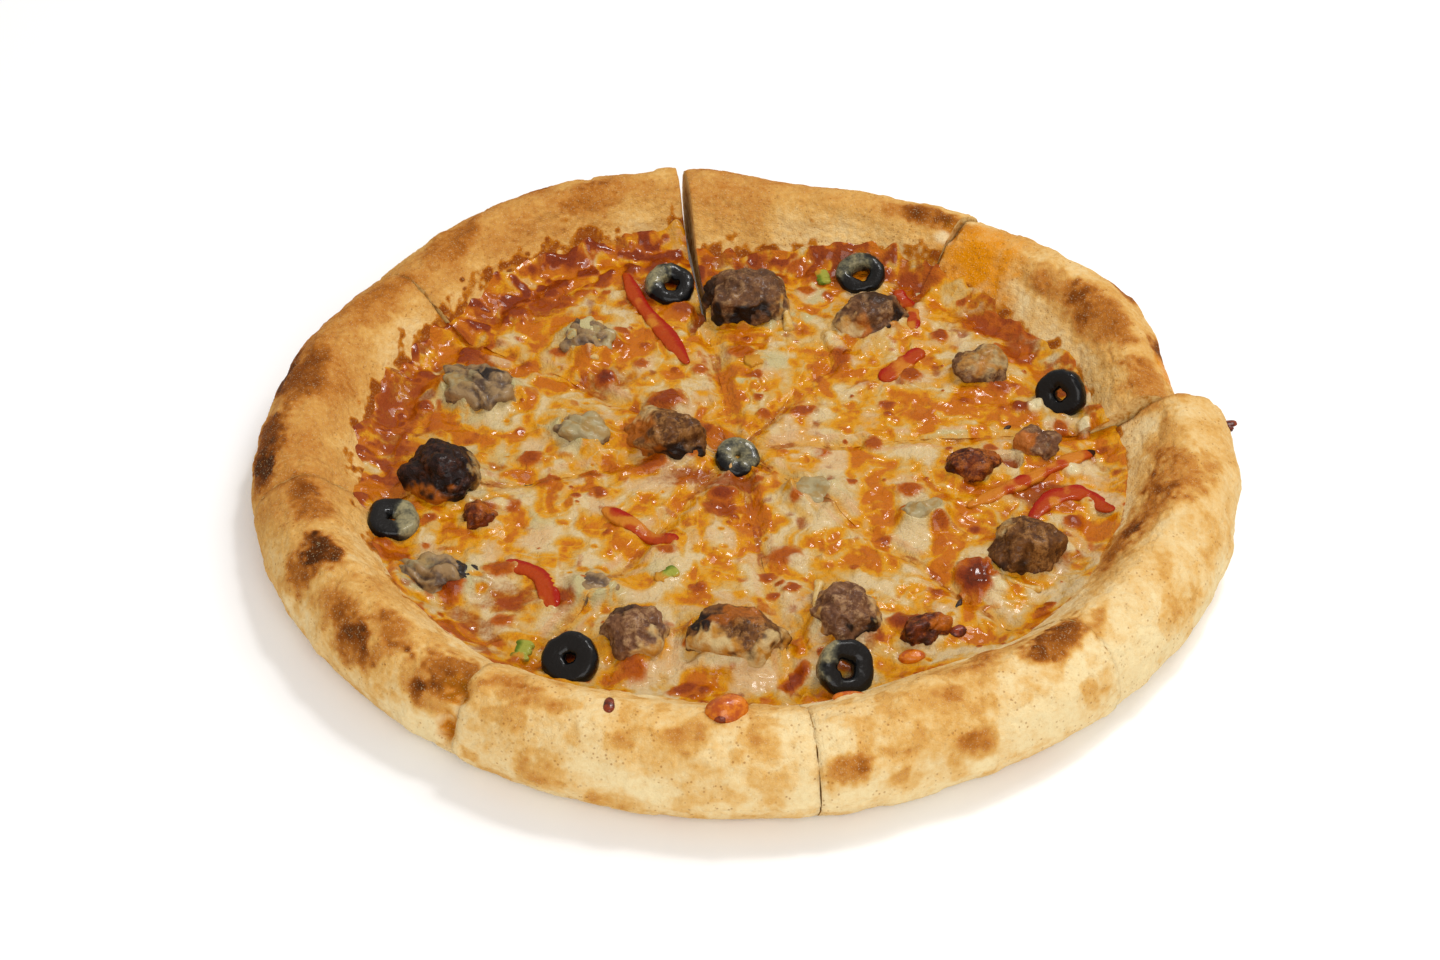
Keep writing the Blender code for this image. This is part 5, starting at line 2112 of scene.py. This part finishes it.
@dataclass
class Toppings:
    """Meat, mushrooms, olives and peppers."""

    form: PizzaForm = FORM
    bed: float = 0.0014
    meat_roughness: float = 0.22
    mushroom_roughness: float = 0.30
    lump_detail: float = 3.0
    meat_step: float = 7.3
    mushroom_step: float = 3.1
    green_step: int = 20
    olive_radius: float = 0.0056
    olive_wall: float = 0.0024
    olive_stretch: float = 1.25
    olive_flatness: float = 0.7
    olive_wobble: float = 0.10
    olive_sides: tuple[int, int] = (84, 36)
    pepper_thickness: float = 0.0017
    pepper_lift: float = 0.35
    pepper_climb: float = 0.0005
    pepper_ripple: float = 0.00022
    fine_ripple: float = 0.00009
    fold_step: float = 0.0062
    lobe: float = 0.0012
    small_lobe: float = 0.0007
    fine_lump: float = 0.0005
    crumb: float = 0.00026
    fine_crumb: float = 0.0001
    crater: float = 0.0008
    film_depth: float = 0.0003
    olive_film: float = 0.0005
    olive_relief: float = 0.00016
    fine_olive_relief: float = 0.00006
    strip_steps: int = 72
    strip_sides: int = 28

    def footprints(self) -> list[Footprint]:
        """Measures where the toppings stand in the cheese.

        Returns:
            A footprint for each lump and olive, and several along each strip of pepper.
        """
        stands = []
        for lump in MEAT + MUSHROOMS:
            long, wide, _ = lump.size
            stands.append(Footprint(lump.x, lump.y, long / 2, wide / 2, lump.turn, lump.climb, lump.greyed))
        for olive in OLIVES:
            reach = (self.olive_radius + 0.5 * self.olive_wall) * olive.scale
            stands.append(Footprint(olive.x, olive.y, reach, reach, 0.0, olive.climb))
        for strip in RED_PEPPERS + GREEN_PEPPERS:
            for x, y in smooth_path(strip.path, 9)[1:-1]:
                stands.append(Footprint(x, y, strip.half_width, strip.half_width, 0.0, self.pepper_climb))
        return stands

    def lump(self, name: str, chunk: Chunk, number: int, roughness: float, seed_step: float) -> Piece:
        """Shapes a lump as its solid is, crumbles its surface and paints it.

        Args:
            name: The piece's name.
            chunk: The lump.
            number: Its number among its kind.
            roughness: How uneven its main form is.
            seed_step: What tells its unevenness from its neighbours'.

        Returns:
            The piece.
        """
        piece = Piece.ball(name, chunk.detail)
        ball = piece.points()
        shift = np.array([number * seed_step, 0.0, 0.0])
        bumps = slow_wave(ball * self.lump_detail + shift, 1.0)
        spin = upright_turn(chunk.turn)
        world = (ball * (1.0 + roughness * bumps)[:, None] * np.array(chunk.size)) @ spin
        facing = unit(ball) @ spin
        texture = world + 0.05 * number
        lobes = self.lobe * grain(texture, 0.0085, 90) + self.small_lobe * grain(texture, 0.0048, 91)
        lumps = self.fine_lump * grain(texture, 0.0023, 92)
        crumbs = self.crumb * grain(texture, 0.0011, 93) + self.fine_crumb * grain(texture, 0.0006, 94)
        pits = above(grain(texture, 0.0032, 95), 0.38, 0.2)
        ragged = 26.0 * grain(texture, 0.0040, 96) + 12.0 * grain(texture, 0.0016, 97)
        stains = patched(facing, chunk.patches, ragged)
        film = stains[FILM]
        rough = lumps + crumbs - self.crater * pits
        relief = lobes + rough * (1.0 - 0.6 * film) + self.film_depth * film
        folds = np.zeros(len(world))
        if chunk.folded > 0.0:
            bent = world[:, 1] + 0.6 * world[:, 0] + 0.0052 * grain(texture, 0.0075, 89)
            folds = np.sin(2 * np.pi * bent / self.fold_step)
            relief += chunk.folded * folds
        world = world + facing * relief[:, None]
        centre = self.form.lying(chunk.x, chunk.y)[0] + chunk.size[2] * (0.5 - chunk.sunk)
        world += np.array([chunk.x, chunk.y, centre])
        piece.move(to_bed(world, self.bed))
        for stain, values in stains.items():
            piece.paint(stain.value, values)
        piece.paint("raised", lumps / self.fine_lump + folds)
        piece.smooth()
        return piece

    def ring(self, name: str, olive: Olive, number: int) -> Piece:
        """Shapes a slice of olive: flat cut faces, a round skin and an uneven hole.

        Args:
            name: The piece's name.
            olive: The slice.
            number: Its number.

        Returns:
            The piece.
        """
        radius, wall = self.olive_radius * olive.scale, self.olive_wall * olive.scale
        piece = Piece.ring(name, self.olive_sides, radius, wall)
        points = piece.points()
        around = np.hypot(points[:, 0], points[:, 1])
        side, rise = (around - radius) / wall, points[:, 2] / wall
        squared = np.sign(rise) * np.abs(rise) ** self.olive_flatness
        cut_face = above(np.abs(squared), 0.86, 0.1) * above(-np.abs(side), -0.85, 0.15)
        flat = points[:, :2] / around[:, None]
        inner = above(-side, 0.1, 0.4)
        texture = points + 0.04 * number
        numbered = np.column_stack([flat, np.full(len(flat), number)])
        wobble = 1.0 + self.olive_wobble * grain(numbered, 0.9, 98)
        around = around * wobble - inner * (olive.filled + 0.0006 * grain(texture, 0.0028, 99))
        shaped = np.column_stack([flat * around[:, None], squared * wall * self.olive_stretch])
        facing = Vector(olive.faces).to_track_quat("Z", "Y").to_matrix()
        world = shaped @ np.array(facing).T
        ragged = 22.0 * grain(texture, 0.0035, 100) + 10.0 * grain(texture, 0.0012, 101)
        film = patched(unit(world), olive.patches, ragged)[FILM]
        relief = self.olive_relief * grain(texture, 0.0022, 102)
        relief += self.fine_olive_relief * grain(texture, 0.0008, 103) + self.olive_film * film
        world = world * (1.0 + (relief / radius)[:, None])
        world += np.array([olive.x, olive.y, self.form.lying(olive.x, olive.y)[0] + olive.lift])
        piece.move(to_bed(world, self.bed * 2))
        piece.paint("cut_face", cut_face)
        piece.paint(FILM.value, film)
        piece.smooth()
        return piece

    def strip(self, name: str, strip: Strip, number: int) -> Piece:
        """Shapes a strip of pepper that follows the cheese: a shallow hollow, wavy edges and thin ends.

        Args:
            name: The piece's name.
            strip: The strip.
            number: Its number.

        Returns:
            The piece.
        """
        path = smooth_path(strip.path, self.strip_steps)
        ahead = headings(path)
        side = np.column_stack([-ahead[:, 1], ahead[:, 0], 0.0 * ahead[:, 0]])
        share = np.linspace(0.0, 1.0, self.strip_steps)
        thin = np.clip(1.0 - np.abs(2.0 * share - 1.0) ** 6, 0.0, 1.0) ** 0.5
        along = np.column_stack([share * 0.05, 0.0 * share + number])
        width = strip.half_width * thin * (1.0 + 0.26 * grain(along, 0.006, 104))
        height = self.form.lying(path[:, 0], path[:, 1]) + self.pepper_lift * self.pepper_thickness
        around = np.linspace(0.0, 2 * np.pi, self.strip_sides, endpoint=False)[:, None]
        across, up = np.cos(around), np.sin(around)
        rise = 0.85 * self.pepper_thickness * thin * (np.sign(up) * np.abs(up) ** 0.8)
        rise = rise - 0.25 * self.pepper_thickness * (1.0 - across**2) * (up > 0) * thin
        middle = np.column_stack([path, height])
        places = middle + (across * width)[..., None] * side + rise[..., None] * np.array(UP)
        texture = places.reshape(-1, 3)
        ripple = self.pepper_ripple * grain(texture, 0.0026, 105)
        ripple += self.fine_ripple * grain(texture, 0.001, 106)
        places = places + grid_normals(places) * (ripple.reshape(across.shape[0], -1) * thin)[..., None]
        film = above(grain(texture, 0.0042, 107), 0.75 - 1.5 * strip.filmed, 0.45).reshape(up.shape[0], -1)
        tip = ease((share - 0.93) / 0.05) if strip.burnt_end else 0.0 * share
        painted = {
            "skin": above(across, 0.35, 0.5) + 0.0 * width,
            FILM.value: film * (1.0 - tip),
            CHAR.value: tip + 0.0 * across,
        }
        piece = Piece.rolled(name, places, painted)
        piece.smooth()
        return piece

    def build(self) -> None:
        """Makes and dresses every topping."""
        tones = {tone: tone.value.material() for tone in MeatTone}
        for number, chunk in enumerate(MEAT, 1):
            piece = self.lump(f"meat_chunk_{number}", chunk, number, self.meat_roughness, self.meat_step)
            piece.settle([tones[chunk.tone]], "browned_meat", f"meat_{number}")
        mushroom = CookedMushroom().material()
        for number, chunk in enumerate(MUSHROOMS, 1):
            name, rough = f"mushroom_piece_{number}", self.mushroom_roughness
            piece = self.lump(name, chunk, number, rough, self.mushroom_step)
            piece.settle([mushroom], "cooked_mushroom", f"mushroom_{number}")
        black = BlackOlive().material()
        for number, olive in enumerate(OLIVES, 1):
            piece = self.ring(f"olive_slice_{number}", olive, number)
            piece.settle([black], "black_olive", f"olive_{number}")
        red = SoftPepper("red_pepper", "A63A08", "9C1803").material()
        for number, strip in enumerate(RED_PEPPERS, 1):
            piece = self.strip(f"red_strip_{number}", strip, number)
            piece.settle([red], "red_pepper", f"red_pepper_{number}")
        green = SoftPepper("green_pepper", "98983A", "5C701A").material()
        for number, strip in enumerate(GREEN_PEPPERS, 1):
            piece = self.strip(f"green_strip_{number}", strip, number + self.green_step)
            piece.settle([green], "green_pepper", f"green_pepper_{number}")


@dataclass(frozen=True)
class Bit:
    """A small thing on the pizza: the pixel of its middle, its half sizes, its turn and its rise."""

    column: float
    row: float
    long: float
    wide: float
    high: float
    turn: float = 0.0


@dataclass(frozen=True)
class Strand:
    """A string of cheese: the pixels along it, each with its height over what lies there, and its radius."""

    path: tuple[Place, ...]
    radius: float


FAT_DROPS = (
    Bit(727, 711, 0.0058, 0.0046, 0.0040), Bit(912, 657, 0.0038, 0.0024, 0.0018, 10.0),
    Bit(850, 697, 0.0048, 0.0018, 0.0014),
)
BROWN_DROPS = (
    Bit(957, 632, 0.0028, 0.0022, 0.0016), Bit(938, 634, 0.0022, 0.0010, 0.0008),
    Bit(609, 705, 0.0016, 0.0026, 0.0012), Bit(722, 720, 0.0022, 0.0013, 0.0018),
    Bit(1232, 422, 0.0034, 0.0016, 0.0008, 20.0), Bit(1237, 425, 0.0018, 0.0008, 0.0010, -30.0),
)
DARK_BITS = (
    Bit(958, 607, 0.0010, 0.0028, 0.0012, -15.0), Bit(930, 622, 0.0060, 0.0014, 0.0014, 5.0),
    Bit(1006, 430, 0.0022, 0.0008, 0.0012, 50.0),
)
STRANDS = (
    Strand(((990, 566, 0.0012), (1003, 577, 0.0010), (1020, 586, 0.0006), (1042, 590, -0.0002)), 0.0011),
    Strand(((598, 330, 0.0030), (599, 345, 0.0032), (594, 364, 0.0012)), 0.0016),
    Strand(((776, 300, 0.0050), (784, 313, 0.0026), (790, 332, 0.0002)), 0.0018),
    Strand(((820, 590, 0.0036), (815, 611, 0.0034), (823, 633, 0.0006)), 0.0015),
)


@dataclass
class Trimmings:
    """The small things that lie on the pizza: drops of fat, strings of cheese and burnt flakes."""

    detail: int = 4
    strand_steps: int = 48
    strand_sides: int = 14

    def scatter(self, name: str, bits: tuple[Bit, ...], ruggedness: float) -> Piece:
        """Makes one piece of small lumps, each lying where its pixel shows.

        Args:
            name: The piece's name.
            bits: The lumps.
            ruggedness: How uneven they are, as a share of their size.

        Returns:
            The piece.
        """
        made = []
        for number, bit in enumerate(bits, 1):
            piece = Piece.ball(f"{name}_{number}", self.detail)
            ball = piece.points() * 2.0
            ball *= (1.0 + ruggedness * grain(ball + number, 0.9, 111))[:, None]
            world = (ball * np.array([bit.long, bit.wide, bit.high])) @ upright_turn(bit.turn)
            piece.move(world + np.array(CARRIER.hit(bit.column, bit.row)))
            piece.smooth()
            made.append(piece)
        return Piece.joined(name, made)

    def strand(self, name: str, strand: Strand) -> Piece:
        """Makes a string of cheese that thins between its ends.

        Args:
            name: The piece's name.
            strand: The string.

        Returns:
            The piece.
        """
        lifted = [np.array(CARRIER.hit(column, row)) + (0.0, 0.0, lift) for column, row, lift in strand.path]
        path = smooth_path(tuple(map(tuple, lifted)), self.strand_steps)
        ahead = headings(path)
        side = unit(np.cross(ahead, UP))
        over = np.cross(side, ahead)
        share = np.linspace(0.0, 1.0, self.strand_steps)
        radius = strand.radius * (0.62 + 0.9 * np.abs(2.0 * share - 1.0) ** 3)
        radius *= np.clip(1.0 - np.abs(2.0 * share - 1.0) ** 12, 0.04, 1.0) ** 0.5
        around = np.linspace(0.0, 2 * np.pi, self.strand_sides, endpoint=False)[:, None, None]
        spread = np.cos(around) * side + 0.75 * np.sin(around) * over
        places = path + spread * radius[:, None]
        ripple = 0.25 * grain(places.reshape(-1, 3), 0.0022, 112).reshape(places.shape[:2])
        piece = Piece.rolled(name, path + spread * (radius * (1.0 + ripple))[..., None])
        piece.smooth()
        return piece

    def build(self) -> None:
        """Makes and dresses them all."""
        fat = PlainBits("orange_fat", "D07208", "AE4A08", 0.25, 0.36).material()
        self.scatter("fat_drops", FAT_DROPS, 0.14).settle([fat], "melted_cheese")
        brown = PlainBits("browned_drops", "86330C", "4A1808", 0.25, 0.3).material()
        self.scatter("browned_drops", BROWN_DROPS, 0.18).settle([brown], "melted_cheese")
        dark = PlainBits("burnt_bits", "3A2016", "160C08", 0.4, 0.1).material()
        self.scatter("burnt_bits", DARK_BITS, 0.3).settle([dark], "browned_meat")
        pale = PlainBits("pale_cheese", "CFAF70", "C4902E", 0.35, 0.12).material()
        made = [self.strand(f"strand_{number}", strand) for number, strand in enumerate(STRANDS, 1)]
        Piece.joined("cheese_strands", made).settle([pale], "melted_cheese")


@dataclass(frozen=True)
class Lamp:
    """A square light that looks at the pizza: its name, its place, its side and its power in watts."""

    name: str
    location: Place
    size: float
    power: float

    def build(self) -> None:
        """Adds it."""
        bpy.ops.object.light_add(type="AREA", location=self.location)
        light = bpy.context.object
        light.name = self.name
        light.data.size = self.size
        light.data.energy = self.power
        light.rotation_euler = (-Vector(self.location)).to_track_quat("-Z", "Y").to_euler()


@dataclass
class Studio:
    """The plain floor, the soft lights and the camera."""

    lamps: tuple[Lamp, ...] = (
        Lamp("key_light", (0.60, 0.50, 1.15), 0.5, 5.0),
        Lamp("spark_light", (0.36, 0.42, 1.20), 0.16, 3.9),
        Lamp("front_fill", (0.15, -1.0, 0.85), 0.8, 7.0),
    )
    room_light: tuple[float, ...] = (1.0, 0.985, 0.96, 1.0)
    room_strength: float = 0.56
    floor_side: float = 12.0
    floor_drop: float = 0.0002

    def build(self) -> None:
        """Adds them all."""
        PHOTOGRAPH.camera()
        scene = bpy.context.scene
        scene.view_settings.view_transform = "Standard"
        world = bpy.data.worlds.new("white_room")
        world.use_nodes = True
        room = world.node_tree.nodes["Background"].inputs
        room["Color"].default_value = self.room_light
        room["Strength"].default_value = self.room_strength
        scene.world = world
        for lamp in self.lamps:
            lamp.build()
        bpy.ops.object.select_all(action="DESELECT")
        bpy.ops.mesh.primitive_plane_add(size=self.floor_side, location=(0.0, 0.0, -self.floor_drop))
        floor = bpy.context.object
        floor.name = "studio_floor"
        bench = Bench("white_floor")
        colour = bench.mix(bench.speckle(0.4, 1.0), "FFFFFF", "FAFAFA")
        floor.data.materials.append(bench.finish({"Base Color": colour}, {"Roughness": 0.9}))


def main() -> None:
    """Makes every piece in order."""
    logging.basicConfig(level=logging.INFO, format="%(name)s: %(message)s", stream=sys.stdout)
    Studio().build()
    Crust().build()
    toppings = Toppings()
    Cheese(toppings.footprints()).build()
    toppings.build()
    Trimmings().build()


if __name__ == "__main__":
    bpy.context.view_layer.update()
    main()
    bpy.context.view_layer.update()
